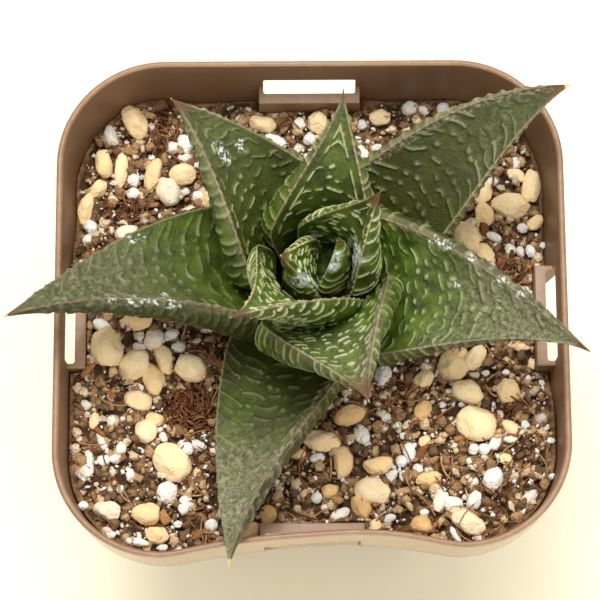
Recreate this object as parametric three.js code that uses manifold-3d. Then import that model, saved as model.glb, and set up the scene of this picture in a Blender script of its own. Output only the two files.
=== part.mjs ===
// Potted haworthia: a rosette of ridged succulent leaves in a square nursery pot.
//
// Millimetres, +Z up. The origin is the middle of the pot's foot, which stands on
// the plane z = 0. +X is to the right and -Y is the side that faces the viewer.
// Every piece is a closed solid: the pot, the soil with the pebbles and perlite
// that lie in it, the short stem, and each leaf of the rosette.

import * as THREE from 'three';
import { mergeVertices } from 'three/addons/utils/BufferGeometryUtils.js';
import Module from 'manifold-3d';

const wasm = await Module();
wasm.setup();

const GAP = 0.3;                // kept between neighbours, so that they touch without overlapping
const MERGE_DISTANCE = 1e-4;    // corners closer than this are one corner

// Pot: a square nursery pot with round corners and a tapered wall
const POT_WIDTH = 75;
const POT_HEIGHT = 65;
const WALL = 1.0;
const FLOOR = 1.6;
const CORNER_RADIUS = 16;
const BAND_HEIGHT = 10.5;       // the steeper band under the rim
const BAND_TAPER = 0.05;        // how far the band leans in for each millimetre down
const TAPER = 0.225;            // and how far the wall below it does
const BOW = 2.5;                // how far the soft near wall is pressed in at the rim
const BOW_AT_FOOT = 0.5;        // the share of that bow which is left at the foot
const BOW_POWERS = [2.5, 1.5];  // the bow is flat in the middle and runs out at the corners
const SKEW = 1.2;               // how much further its right half is pressed in
const SKEW_ACROSS = [-8, 16];   // between which x the skew sets in
const SKEW_REACH = 30;          // how far towards the viewer it grows
const CORNER_STEPS = 6;
const NEAR_STEPS = 8;           // the near wall is curved, so it takes more steps
const SIDE_STEPS = 2;
const DRAIN_RADIUS = 3.6;       // four holes in the floor
const DRAIN_OFFSET = 13;
const DRAIN_SIDES = 16;

// Ledge in the middle of each wall: a window near the rim, and below it a stretch
// of wall that is set in
const WINDOW_DROP = 5.4;        // from the rim down to the window
const WINDOW_WIDTH = 14;
const WINDOW_HEIGHT = 2.6;
const LEDGE_FACE = 2.5;         // its outer face, measured in from the rim's face
const LEDGE_BACK = 4.1;         // its inner face
const LEDGE_SIDE = 0.7;         // thickness at its two ends
const LEDGE_DROP = 16;          // how far the set-in stretch runs down

// Soil: its surface, and what lies in it
const SOIL_DEPTH = 12;          // from the rim down to the surface
const SOIL_RINGS = 5;
const SOIL_WAVE = 0.6;          // how far the surface rises and sinks
const BROAD_WAVE = [0.21, 0.17];      // radians for each millimetre along X and Y
const FINE_WAVE = [0.43, 0.37];
const SEED = 20477;

// Where the soil is banked up: how high, at which side, and between which distances from the
// middle it rises towards that side and towards the viewer
const BANKS = [
  { height: 4.5, side: 1, across: [9, 32], nearer: [7, 18] },
  { height: 2.5, side: -1, across: [20, 36], nearer: [-18, -6] },
];

// What lies in the surface. Each row is x, y, length, width, and how far the length is
// turned from +X in degrees. First the tan pebbles, from the upper left round to the right.
const PEBBLES = [
  [-26.7, 31.7, 5.6, 3.4, 115], [-31.4, 25.2, 4.4, 3, 100], [-28.8, 24.3, 5.8, 2.2, 85],
  [-23.8, 23.5, 5.2, 2.6, 78], [-19.3, 23.3, 4, 3.3, 170], [-21.5, 20.6, 4.8, 3.3, 115],
  [-34, 18.3, 5.2, 2.3, 80], [-32.2, 21.3, 3.2, 2.4, 40], [-27.3, 13.7, 4.2, 3, 170],
  [-18.3, 17.1, 3.4, 2.4, 20], [-15.5, 19.3, 2.8, 2.2, 90], [-26, 0.1, 5, 3, 5],
  [-30.4, -4.5, 6.2, 4.6, 95], [-26.4, -6.7, 5.5, 4, 30], [-23.5, -8.6, 4.8, 3.2, 105],
  [-23.5, -2.6, 3.4, 2.8, 60], [-22, -5.5, 4.6, 2.8, 110], [-18, -7, 5, 3.8, 150],
  [-25.7, -11.9, 4.2, 3.2, 165], [-32.2, -15.2, 2.4, 1.6, 80], [-24.5, -16.4, 3.6, 3.2, 80],
  [-23.3, -14.7, 2.6, 2.2, 0], [-20.7, -21.2, 6, 4.8, 130], [-30.1, -28.6, 4.2, 3, 165],
  [-24.3, -29.1, 4.4, 3.4, 170], [-22.7, -32.2, 3.3, 2.6, 165], [-9, -31.7, 3.2, 2.4, 35],
  [-6.5, -29.2, 3, 2.4, 80], [-2, -20, 2.1, 1.7, 0], [1.5, -18, 5.4, 3.2, 175],
  [4.6, -21.2, 4.6, 2.9, 85], [5.7, -14.2, 4.8, 3, 20], [2.7, -25.5, 2.8, 2.3, 0],
  [10, -21.8, 4.6, 2.9, 3], [8.9, -25.8, 5.2, 4, 170], [7.3, -28.3, 3.8, 2.6, 130],
  [9.2, -31, 2.4, 1.8, 60], [16, -30.9, 3.6, 2.8, 160], [17.2, -24.2, 3.8, 2.2, 15],
  [16.7, -18.6, 2, 1.6, 40], [16.5, -13.9, 3.2, 2.4, 60], [16.8, -8.9, 3.3, 2.6, 35],
  [22.8, -30.9, 5.4, 3.2, 145], [18.9, -27.8, 3.4, 2.2, 70], [28.4, -21.9, 2, 1.7, 150],
  [29.2, -17.1, 2.8, 2, 140], [24.2, -16.4, 6, 5, 165], [23.2, -11.3, 4.9, 3.6, 150],
  [29.3, -11, 3.9, 3.6, 90], [21.2, -7, 5, 4, 140], [24.5, -5.6, 4.4, 2.6, 55],
  [22.4, -4.9, 2.6, 2, 20], [31.2, -4, 2.2, 1.5, 0], [33.6, -6.6, 2.6, 1.8, 170],
  [26, 10.4, 3.6, 3.2, 130], [23.7, 13.3, 5.2, 3.8, 140], [26.3, 16.7, 3.7, 3, 100],
  [26.3, 20.2, 4, 2.6, 70], [30.5, 18.2, 6.2, 3.8, 175], [33.7, 21.3, 5.5, 2.9, 80],
  [31.4, 23.2, 3, 2, 145], [34, 15.5, 2.9, 2, 40], [10.9, 32.5, 3.4, 2.8, 0],
  [1.2, 31.3, 3.4, 3, 100], [-7.2, 31.5, 4, 2.9, 170],
];

// The larger grains of white perlite, in the same order
const PERLITE = [
  [-30.3, 29.4, 3.4, 2, 105], [-26.8, 23, 2.6, 1.8, 95], [-26.8, 20.5, 2.2, 2, 0],
  [-21, 27.7, 2, 2, 0], [-19, 28.2, 3.2, 2.4, 100], [-19, 26, 2.4, 1.4, 0],
  [-16.7, 19.7, 2.4, 1.8, 150], [-33.2, 15.2, 2.4, 1.8, 130], [-31.1, -1, 3, 2, 150],
  [-25.7, -4, 2, 1.6, 0], [-21, -1.7, 2.4, 1.6, 20], [-19.8, -3.6, 2.2, 1.6, 170],
  [-26.1, -10, 2.4, 1.6, 0], [-33.5, -12.9, 2, 1.4, 165], [-29.4, -15.1, 2, 1.8, 100],
  [-30.9, -18.4, 3.6, 1.3, 115], [-32.8, -21, 3, 1.4, 100], [-33.3, -23, 2.8, 2, 20],
  [-30.7, -21.2, 2, 1.6, 20], [-29.1, -20.8, 2, 1.5, 0], [-28.2, -19.3, 2, 1.6, 90],
  [-26.8, -23.2, 2, 1.4, 80], [-18.7, -19, 2.6, 2, 130], [-16.8, -18.7, 2.2, 1.6, 150],
  [-21.3, -25.8, 3.6, 3, 60], [-18.7, -27.7, 3.2, 2.2, 75], [-25.7, -33.3, 3.8, 1.3, 170],
  [-14.8, -30.5, 2, 1.8, 0], [0.8, -20.6, 2.4, 1.5, 10], [4.2, -29.2, 3.2, 1.8, 30],
  [7.4, -17.1, 3.3, 2.3, 110], [10.7, -8.3, 3.5, 2.5, 70], [14.4, -20.1, 3, 1.8, 100],
  [13.3, -21.4, 2, 1.8, 0], [11.8, -23.6, 2.2, 1.4, 60], [11.3, -29.8, 2.2, 1.3, 15],
  [27, -19.3, 2.4, 1.8, 60], [29.2, -18.9, 2, 1.1, 10], [26.5, -24.8, 3.4, 3, 60],
  [20.7, -28.2, 3, 2.4, 0], [23.7, -27.8, 3, 2.2, 60], [31.6, -27.7, 3.4, 1.7, 40],
  [31.4, -17, 2, 1.3, 100], [27.8, 13.2, 2.6, 1.4, 155], [33.3, 11, 2, 1.5, 105],
  [31.4, 25, 2, 1.7, 70], [27.8, 22.3, 2.4, 1.6, 30], [20.5, 33.8, 2.2, 2, 0],
  [15.3, 33.9, 2.4, 2.2, 40], [8, 26.7, 3, 1.8, 120], [10.2, 27.5, 2, 1.2, 10],
  [-1.5, 31.2, 2.2, 2, 60], [0, 28.8, 2, 1.8, 0], [-5.3, 28.5, 4, 2.2, 155],
];
const FLATNESS = [0.7, 0.95];   // height of a grain as a share of its width
const LIFT = 0.35;              // its middle above the surface, as a share of its half height
const GRAIN_TIP = 0.2;          // how far it is tipped either way, in radians

// Axis of the plant: it leans a little towards the viewer
const AXIS_X = 1.2;
const AXIS_Y = 2.0;             // where the axis stands AXIS_LEVEL above the rim
const AXIS_LEVEL = 10;
const LEAN = 0.22;              // how far it leans towards -Y for each millimetre up

// Stem: a short crown, set in a plain hole in the soil
const STEM_SIDES = 14;
const STEM_RADII = [             // level above the rim, and radius
  { level: -18, radius: 3.6 },
  { level: -12, radius: 4.4 },
  { level: -5, radius: 4.8 },
  { level: -1, radius: 5.4 },
  { level: 0.6, radius: 4.8 },
  { level: 1.8, radius: 2.8 },
];

// Leaves
const RING_STEP = 1.3;          // distance between the cross sections of a leaf
const FACE_STEPS = 6;           // steps across the upper face
const BACK_STEPS = 3;           // steps from each margin to the keel underneath
const RIDGE = 0.36;             // height of the raised cross bands
const TOOTH = 0.2;              // how far every second step of the margin stands out
const NECK = 0.7;               // width at the root, as a share of the full width
const NECK_END = 0.25;
const CLASP = 0.35;             // extra hollow of the face where the root clasps the stem
const CLASP_END = 0.2;
const THICKNESS_POWER = 0.9;
const SHOULDER = 0.55;          // how far down the back the belly bulges
const MITER_LIMIT = 2.2;        // how far a sharp corner may move for each millimetre of skin
const FEWEST_RINGS = 8;
const ROOT_FADE = [0.02, 0.12]; // the relief grows from nothing over this stretch of the leaf,
const TIP_FADE = [0.86, 0.98];  // and dies away over this one
const BREAKS = [2.3, 0.7];      // how the breaks in the bands wander, across and along the face

// One row for each leaf, from the lowest and oldest to the youngest.
//   facing        direction of the root round the axis, degrees from +X
//   inset         distance from the axis to the middle of the root
//   reach, sweep  the tip, along that direction and across it
//   root, tip     heights of the root and the tip above the rim
//   turn          how far the tip has turned from the root's direction
//   climb         how steeply the leaf leaves the root and arrives at the tip
//   width, thick  largest width, and thickness behind the middle of the face
//   taper         the higher, the more slender towards the tip
//   cup           depth of the hollow in the face, at the root and at the tip
//   keel, belly   sideways place of the keel, and fullness of the back
//   roll, twist   tilt about its own length at the root, and gained on the way
const LEAVES = [
  { facing: 250, reach: 47.7, sweep: 3.4, root: -9.8, tip: 3.8, turn: 18, climb: [20, 7],
    inset: 3, width: 21, taper: 1.33, thick: 5.8, cup: [0.08, 0.16], keel: 0.45, belly: 0.1,
    roll: 12, twist: 28 },
  { facing: 31, reach: 43.6, sweep: 1.2, root: -7, tip: 11.9, turn: -17, climb: [44, 11],
    inset: 3, width: 17.5, taper: 1.15, thick: 5, cup: [0.15, 0.12], keel: 0, belly: 0.45,
    roll: 15, twist: 10 },
  { facing: 169, reach: 42.4, sweep: 18.7, root: -6.5, tip: 10.2, turn: 38, climb: [38, 0],
    inset: 3, width: 20.5, taper: 1.35, thick: 6, cup: [0.27, 0.1], keel: 0.55, belly: 0.5,
    roll: 16, twist: 15 },
  { facing: 334, reach: 41.8, sweep: 2, root: -5.6, tip: 12.3, turn: -10, climb: [62, 4],
    inset: 3, width: 21.7, taper: 1.54, thick: 5.6, cup: [0.15, 0.15], keel: -0.32, belly: 0.52,
    roll: 26, twist: 22 },
  { facing: 127, reach: 30, sweep: 4, root: -4.5, tip: 14.2, turn: 21, climb: [64, 16],
    inset: 3, width: 21, taper: 1.28, thick: 5, cup: [0.25, 0.12], keel: 0.27, belly: 0.52,
    roll: 15, twist: 14 },
  { facing: 278, reach: 25.5, sweep: 3.2, root: -4.5, tip: 19.5, turn: 12, climb: [69, 13],
    inset: 2, width: 21.5, taper: 1.4, thick: 5.8, cup: [0.25, 0.25], keel: -0.3, belly: 0.55,
    roll: 10, twist: 5 },
  { facing: 90.5, reach: 21.2, sweep: -3.7, root: -2, tip: 21.8, turn: -3, climb: [84, 29],
    inset: 2, width: 16.2, taper: 1.68, thick: 5, cup: [0.4, 0.12], keel: 0.13, belly: 0.65,
    roll: -3, twist: 0 },
  { facing: 225, reach: 17.6, sweep: -0.3, root: -1, tip: 21.4, turn: -18, climb: [88, 10],
    inset: 0.5, width: 19.5, taper: 1.6, thick: 4.8, cup: [0.6, 0.34], keel: -0.1, belly: 0.2,
    roll: 14, twist: 25 },
  { facing: 38, reach: 10.2, sweep: -0.9, root: 0, tip: 23.6, turn: 5, climb: [85, 42],
    inset: 0, width: 13.3, taper: 1.3, thick: 4.4, cup: [0.65, 0.4], keel: -0.5, belly: 0.45,
    roll: 0, twist: -6 },
  { facing: 172, reach: 5.4, sweep: 1.7, root: 2.1, tip: 15.5, turn: 2, climb: [86, 40],
    inset: -0.4, width: 9, taper: 1, thick: 4.4, cup: [0.1, 0.15], keel: 0.2, belly: 0.5,
    roll: 8, twist: 0 },
  { facing: 330, reach: 1.4, sweep: 2.4, root: 2.1, tip: 15, turn: 0, climb: [82, 100],
    inset: 0.8, width: 6, taper: 1, thick: 2.8, cup: [0.1, 0.1], keel: 0, belly: 0.4,
    roll: 0, twist: 0 },
];

// Colours
const POT_BROWN = 0x6b4f3c;
const SOIL_BROWN = 0x4a3222;
const STEM_GREEN = 0x5d7338;
const LEAF_GREEN = 0x4c6a30;

const { cos, sin, abs, min, max, round, PI } = Math;
const radians = THREE.MathUtils.degToRad;
const lerp = THREE.MathUtils.lerp;
const smoothstep = THREE.MathUtils.smoothstep;

// Solids and meshes

function solidFrom(points, triangles) {
  return new wasm.Manifold(new wasm.Mesh({
    numProp: 3,
    vertProperties: Float32Array.from(points.flatMap((p) => [p.x, p.y, p.z])),
    triVerts: Uint32Array.from(triangles.flat()),
  }));
}

function solidFromGeometry(geometry) {
  const bare = geometry.index ? geometry.toNonIndexed() : geometry.clone();
  bare.deleteAttribute('normal');
  bare.deleteAttribute('uv');
  const merged = mergeVertices(bare, MERGE_DISTANCE);
  return new wasm.Manifold(new wasm.Mesh({
    numProp: 3,
    vertProperties: new Float32Array(merged.attributes.position.array),
    triVerts: Uint32Array.from(merged.index.array),
  }));
}

function largestBody(solid) {
  return solid.decompose().reduce((best, body) => (body.volume() > best.volume() ? body : best));
}

function meshFrom(name, solid, material) {
  const { vertProperties, triVerts } = solid.getMesh();
  const geometry = new THREE.BufferGeometry();
  geometry.setAttribute('position', new THREE.BufferAttribute(vertProperties, 3));
  geometry.setIndex(new THREE.BufferAttribute(triVerts, 1));
  geometry.computeVertexNormals();
  const mesh = new THREE.Mesh(geometry, material);
  mesh.name = name;
  return mesh;
}

// Triangles that fill a flat outline, anticlockwise as the outline is
function fillOutline(outline) {
  const faces = THREE.ShapeUtils.triangulateShape(outline, []);
  return faces.map(([a, b, c]) => {
    const area = THREE.ShapeUtils.area([outline[a], outline[b], outline[c]]);
    return area > 0 ? [a, b, c] : [a, c, b];
  });
}

// Closed skin through a stack of rings with equally many points. The last end is
// a fan round a point, and so is the first, unless its flat outline is given.
function skin(rings, firstEnd, lastCentre) {
  const count = rings[0].length;
  const points = [...rings.flat(), lastCentre];
  const last = points.length - 1;
  const triangles = [];
  if (firstEnd instanceof THREE.Vector3) {
    points.push(firstEnd);
    for (let j = 0; j < count; j += 1) triangles.push([last + 1, (j + 1) % count, j]);
  } else {
    for (const [a, b, c] of fillOutline(firstEnd)) triangles.push([a, c, b]);
  }
  for (let i = 0; i + 1 < rings.length; i += 1) {
    for (let j = 0; j < count; j += 1) {
      const a = i * count + j;
      const b = i * count + (j + 1) % count;
      triangles.push([a, b, b + count], [a, b + count, a + count]);
    }
  }
  const top = (rings.length - 1) * count;
  for (let j = 0; j < count; j += 1) {
    const next = (j + 1) % count;
    triangles.push([last, top + j, top + next]);
  }
  return solidFrom(points, triangles);
}

function box(width, depth, height, x, y, z) {
  const geometry = new THREE.BoxGeometry(width, depth, height);
  geometry.translate(x, y, z);
  return solidFromGeometry(geometry);
}

// Random numbers that come out the same each time
function seeded(seed) {
  let state = seed;
  return () => {
    state = (state * 48271) % 2147483647;
    return state / 2147483647;
  };
}

// Pot

function leanIn(depth) {
  return BAND_TAPER * min(depth, BAND_HEIGHT) + TAPER * max(0, depth - BAND_HEIGHT);
}

const halfWidth = (z) => POT_WIDTH / 2 - leanIn(POT_HEIGHT - z);
const pressAt = (z) => lerp(BOW_AT_FOOT, 1, z / POT_HEIGHT);
const bowAt = (z) => BOW * pressAt(z);

// How far a point of the near wall is pressed in: 1 in the middle, 0 at the corners
const bowShape = (u) => (1 - abs(u) ** BOW_POWERS[0]) ** BOW_POWERS[1];

// The four corners: on which side of the middle each lies, and where its arc starts
const CORNERS = [
  { x: 1, y: -1, start: -90 },
  { x: 1, y: 1, start: 0 },
  { x: -1, y: 1, start: 90 },
  { x: -1, y: -1, start: 180 },
];

// How far a point of the pot's near right part is pressed in besides
function skewAt({ x, y, z }) {
  const across = smoothstep(x, ...SKEW_ACROSS);
  return SKEW * pressAt(z) * across * smoothstep(-y, 0, SKEW_REACH);
}

// One level of the pot's wall, a given distance in from its outer face
function wallRing(z, inset) {
  const outer = halfWidth(z);
  const radius = CORNER_RADIUS * (outer / (POT_WIDTH / 2)) - inset;
  const straight = outer - inset - radius;
  const arcs = CORNERS.map((corner) => Array.from({ length: CORNER_STEPS + 1 }, (_, k) => {
    const angle = radians(corner.start + 90 * k / CORNER_STEPS);
    return new THREE.Vector3(
      corner.x * straight + radius * cos(angle),
      corner.y * straight + radius * sin(angle),
      z,
    );
  }));
  const ring = arcs.flatMap((arc, k) => {
    const near = k === arcs.length - 1;
    const steps = near ? NEAR_STEPS : SIDE_STEPS;
    const from = arc[CORNER_STEPS];
    const to = arcs[(k + 1) % arcs.length][0];
    const side = Array.from({ length: steps - 1 }, (_, step) => {
      const point = from.clone().lerp(to, (step + 1) / steps);
      if (near) point.y += bowAt(z) * bowShape(point.x / straight);
      return point;
    });
    return [...arc, ...side];
  });
  for (const point of ring) point.y += skewAt(point);
  return ring;
}

// The four walls: how far each is turned, and how far its middle is pressed in
const WALLS = [
  { turn: 0, press: (z) => bowAt(z) },
  { turn: 90, press: () => 0 },
  { turn: 180, press: () => 0 },
  { turn: 270, press: () => 0 },
];

// A block in the middle of the near wall, between two distances in from the rim's
// outer face and two depths below the rim, turned to one of the four walls
function wallBlock(wall, width, outer, inner, above, below) {
  const press = wall.press(POT_HEIGHT - above);
  const y = -POT_WIDTH / 2 + press + (outer + inner) / 2;
  const block = box(width, inner - outer, below - above, 0, y, POT_HEIGHT - (above + below) / 2);
  return block.rotate([0, 0, wall.turn]);
}

function potSolid() {
  const band = POT_HEIGHT - BAND_HEIGHT;
  const outside = [wallRing(0, 0), wallRing(band, 0), wallRing(POT_HEIGHT, 0)];
  const inside = [wallRing(POT_HEIGHT, WALL), wallRing(band, WALL), wallRing(FLOOR, WALL)];
  const foot = new THREE.Vector3(0, 0, 0);
  const block = skin(outside, foot, new THREE.Vector3(0, 0, POT_HEIGHT));
  let pot = skin([...outside, ...inside], foot, new THREE.Vector3(0, 0, FLOOR));
  const sill = WINDOW_DROP + WINDOW_HEIGHT;
  for (const wall of WALLS) {
    const ribWidth = WINDOW_WIDTH + 2 * LEDGE_SIDE;
    const rib = wallBlock(wall, ribWidth, 0, LEDGE_BACK, sill, sill + LEDGE_DROP).intersect(block);
    const recess = wallBlock(wall, WINDOW_WIDTH, -BOW, LEDGE_FACE, WINDOW_DROP, sill + LEDGE_DROP);
    const window = wallBlock(wall, WINDOW_WIDTH, -BOW, LEDGE_BACK + WALL, WINDOW_DROP, sill);
    pot = pot.add(rib).subtract(recess).subtract(window);
  }
  const drillLength = 4 * FLOOR;
  for (const corner of CORNERS) {
    const drill = new THREE.CylinderGeometry(DRAIN_RADIUS, DRAIN_RADIUS, drillLength, DRAIN_SIDES);
    drill.rotateX(PI / 2);
    drill.translate(corner.x * DRAIN_OFFSET, corner.y * DRAIN_OFFSET, 0);
    pot = pot.subtract(solidFromGeometry(drill));
  }
  return largestBody(pot);
}

// Soil

// The plant's axis, at a level above the rim
const axisAt = (level) => new THREE.Vector3(
  AXIS_X,
  AXIS_Y - LEAN * (level - AXIS_LEVEL),
  POT_HEIGHT + level,
);

// How far the soil is banked up at a place
function bankAt(x, y) {
  return BANKS.reduce((sum, { height, side, across, nearer }) => (
    sum + height * smoothstep(side * x, ...across) * smoothstep(-y, ...nearer)
  ), 0);
}

// Level of the soil's surface, which a broad wave and a finer one make uneven
function surfaceAt(x, y) {
  const broad = sin(x * BROAD_WAVE[0] + 1) * cos(y * BROAD_WAVE[1]);
  const fine = 0.5 * sin(x * FINE_WAVE[0] - y * FINE_WAVE[1]);
  return POT_HEIGHT - SOIL_DEPTH + SOIL_WAVE * (broad + fine) + bankAt(x, y);
}

function soilGround() {
  const level = POT_HEIGHT - SOIL_DEPTH;
  const edge = wallRing(level, WALL + GAP);
  const roomAt = (z) => halfWidth(z) - WALL - GAP;
  const rings = [wallRing(FLOOR + GAP, WALL + GAP)];
  for (let k = SOIL_RINGS; k > 0; k -= 1) {
    rings.push(edge.map((p) => {
      const x = p.x * k / SOIL_RINGS;
      const y = p.y * k / SOIL_RINGS;
      const z = surfaceAt(x, y);
      const spread = roomAt(z) / roomAt(level);
      return new THREE.Vector3(x * spread, y * spread, z);
    }));
  }
  const bottom = new THREE.Vector3(0, 0, FLOOR + GAP);
  return skin(rings, bottom, new THREE.Vector3(0, 0, surfaceAt(0, 0)));
}

// Grains lying part sunk in the surface
function grains(rows, draw) {
  const shape = new THREE.IcosahedronGeometry(1, 0);
  return rows.map(([x, y, length, width, spin]) => {
    const height = width * lerp(...FLATNESS, draw());
    const geometry = shape.clone();
    geometry.scale(length / 2, width / 2, height / 2);
    geometry.rotateY(GRAIN_TIP * (2 * draw() - 1));
    geometry.rotateZ(radians(spin));
    geometry.translate(x, y, surfaceAt(x, y) + LIFT * height / 2);
    return solidFromGeometry(geometry);
  });
}

function soilSolid(hollows) {
  const draw = seeded(SEED);
  const levels = [FLOOR + GAP, POT_HEIGHT - BAND_HEIGHT, POT_HEIGHT];
  const space = skin(
    levels.map((z) => wallRing(z, WALL + GAP)),
    new THREE.Vector3(0, 0, FLOOR + GAP),
    new THREE.Vector3(0, 0, POT_HEIGHT),
  );
  let soil = wasm.Manifold.union([
    soilGround(),
    ...grains(PEBBLES, draw),
    ...grains(PERLITE, draw),
  ]).intersect(space);
  const ribWidth = WINDOW_WIDTH + 2 * (LEDGE_SIDE + GAP);
  const ribFoot = WINDOW_DROP + WINDOW_HEIGHT + LEDGE_DROP + GAP;
  for (const wall of WALLS) {
    soil = soil.subtract(wallBlock(wall, ribWidth, 0, LEDGE_BACK + GAP, 0, ribFoot));
  }
  for (const hollow of hollows) soil = soil.subtract(hollow);
  return largestBody(soil);
}

// Stem

function stemSolid(extra) {
  const last = STEM_RADII.length - 1;
  const levels = STEM_RADII.map(({ level }) => level);
  levels[0] -= extra;
  levels[last] += extra;
  const rings = STEM_RADII.map(({ radius }, k) => {
    const centre = axisAt(levels[k]);
    return Array.from({ length: STEM_SIDES }, (_, j) => {
      const angle = 2 * PI * j / STEM_SIDES;
      return new THREE.Vector3(
        centre.x + (radius + extra) * cos(angle),
        centre.y + (radius + extra) * sin(angle),
        centre.z,
      );
    });
  });
  return skin(rings, axisAt(levels[0]), axisAt(levels[last]));
}

// Leaves

// The line that a leaf follows from its root to its tip
function leafLine(leaf) {
  const facing = radians(leaf.facing);
  const start = new THREE.Vector3(leaf.inset, 0, leaf.root);
  const end = new THREE.Vector3(leaf.reach, leaf.sweep, leaf.tip);
  const third = start.distanceTo(end) / 3;
  const [rise, arrive] = leaf.climb.map(radians);
  const turn = radians(leaf.turn);
  const out = new THREE.Vector3(cos(rise), 0, sin(rise)).multiplyScalar(third);
  const back = new THREE.Vector3(
    cos(arrive) * cos(turn), cos(arrive) * sin(turn), sin(arrive),
  ).multiplyScalar(-third);
  const foot = axisAt(leaf.root);
  foot.z = POT_HEIGHT;
  const place = (p) => p.applyAxisAngle(new THREE.Vector3(0, 0, 1), facing).add(foot);
  return new THREE.CubicBezierCurve3(
    place(start.clone()),
    place(start.clone().add(out)),
    place(end.clone().add(back)),
    place(end.clone()),
  );
}

// Where a cross section of the leaf lies: its middle, and its two directions
function leafFrame(leaf, line, t) {
  const along = line.getTangent(t);
  const heading = radians(leaf.facing + leaf.turn * t);
  const across = new THREE.Vector3(-sin(heading), cos(heading), 0);
  across.addScaledVector(along, -across.dot(along)).normalize();
  across.applyAxisAngle(along, radians(leaf.roll + leaf.twist * t));
  const up = new THREE.Vector3().crossVectors(along, across);
  return { centre: line.getPoint(t), along, across, up };
}

// The cross section of a leaf in its own plane: across the hollow face from one
// margin to the other, then back round the keel. A point's x is across, its y up.
function leafSection(leaf, t) {
  const neck = lerp(NECK, 1, smoothstep(t, 0, NECK_END));
  const half = leaf.width / 2 * (1 - t * t) ** leaf.taper * neck;
  const clasp = CLASP * (1 - smoothstep(t, 0, CLASP_END));
  const cup = (lerp(leaf.cup[0], leaf.cup[1], t) + clasp) * half;
  const depth = leaf.thick * (1 - t * t) ** THICKNESS_POWER + cup;
  const section = [];
  for (let j = 0; j <= FACE_STEPS; j += 1) {
    const v = 1 - 2 * j / FACE_STEPS;
    section.push(new THREE.Vector2(v * half, -cup * (1 - v * v)));
  }
  const keel = new THREE.Vector2(leaf.keel * half, -depth);
  const flank = (side) => new THREE.QuadraticBezierCurve(
    new THREE.Vector2(side * half, 0),
    new THREE.Vector2(side * half * (1 + leaf.belly), -SHOULDER * depth),
    keel,
  );
  for (let k = 1; k <= BACK_STEPS; k += 1) section.push(flank(-1).getPoint(k / BACK_STEPS));
  for (let k = BACK_STEPS - 1; k > 0; k -= 1) section.push(flank(1).getPoint(k / BACK_STEPS));
  return section;
}

// Which way is out at one point of a section, lengthened at a sharp corner so
// that both of its sides move out by the same distance
function sectionNormal(section, j) {
  const here = section[j];
  const before = section[(j + section.length - 1) % section.length];
  const after = section[(j + 1) % section.length];
  const one = new THREE.Vector2(here.y - before.y, before.x - here.x).normalize();
  const two = new THREE.Vector2(after.y - here.y, here.x - after.x).normalize();
  const middle = one.clone().add(two).normalize();
  return middle.divideScalar(max(middle.dot(one), 1 / MITER_LIMIT));
}

// How far a point of the skin stands out: broken bands cross the face, slanting
// ones run down the back from the margins to the keel, and the margin is toothed
function relief(i, j, t) {
  const fade = smoothstep(t, ...ROOT_FADE) * (1 - smoothstep(t, ...TIP_FADE));
  if (j === 0 || j === FACE_STEPS) return TOOTH * fade * (i % 2);
  if (j < FACE_STEPS) {
    const shift = round(0.5 + 0.5 * sin(BREAKS[0] * j + BREAKS[1] * i));
    return RIDGE * fade * ((i + shift) % 2);
  }
  const fromKeel = abs(j - FACE_STEPS - BACK_STEPS);
  return RIDGE * fade * ((i + fromKeel) % 2);
}

// A leaf as a solid. With extra above nought it is the smooth leaf swollen by
// that much, which cuts the room for this leaf out of its neighbours.
function leafSolid(leaf, extra) {
  const line = leafLine(leaf);
  const steps = max(FEWEST_RINGS, round(line.getLength() / RING_STEP));
  const rings = [];
  let rootOutline;
  for (let i = 0; i < steps; i += 1) {
    const t = i / steps;
    const { centre, along, across, up } = leafFrame(leaf, line, t);
    if (i === 0) centre.addScaledVector(along, -extra);
    const section = leafSection(leaf, t);
    const outline = section.map((point, j) => {
      const out = extra > 0 ? extra : relief(i, j, t);
      return sectionNormal(section, j).multiplyScalar(out).add(point);
    });
    if (i === 0) rootOutline = outline;
    rings.push(outline.map((p) => (
      centre.clone().addScaledVector(across, p.x).addScaledVector(up, p.y)
    )));
  }
  const tip = line.getPoint(1).addScaledVector(line.getTangent(1), extra);
  return skin(rings, rootOutline, tip);
}

// Each leaf gives way to the stem and to the younger leaves inside it
function cutLeaves(stemRoom) {
  const rooms = [stemRoom];
  const leaves = [];
  for (const leaf of [...LEAVES].reverse()) {
    let solid = leafSolid(leaf, 0);
    for (const room of rooms) solid = solid.subtract(room);
    leaves.unshift(largestBody(solid));
    rooms.push(leafSolid(leaf, GAP + RIDGE));
  }
  return { leaves, rooms };
}

function material(color, roughness) {
  return new THREE.MeshStandardMaterial({ color, roughness, metalness: 0 });
}

const model = new THREE.Group();
const { leaves, rooms } = cutLeaves(stemSolid(GAP));
model.add(meshFrom('pot', potSolid(), material(POT_BROWN, 0.5)));
model.add(meshFrom('soil', soilSolid(rooms), material(SOIL_BROWN, 0.95)));
model.add(meshFrom('stem', stemSolid(0), material(STEM_GREEN, 0.6)));
leaves.forEach((leaf, k) => {
  const name = `leaf_${String(k + 1).padStart(2, '0')}`;
  model.add(meshFrom(name, leaf, material(LEAF_GREEN, 0.5)));
});

export default model;
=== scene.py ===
"""Potted haworthia: a rosette of ridged leaves in a square nursery pot of pebbly soil.

Every piece is shaped in millimetres, in the frame of the CAD model (+Z up, -Y towards
the viewer, the origin in the middle of the pot's foot), and brought to metres when it
becomes an object. Each one stands for the CAD node that it replaces, or lies on it.
"""

import logging
import math
import random
from collections.abc import Callable, Iterable, Iterator, Sequence
from dataclasses import dataclass, field
from enum import Enum

import bmesh
import bpy
import numpy as np
from mathutils import Matrix, Vector, noise


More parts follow.
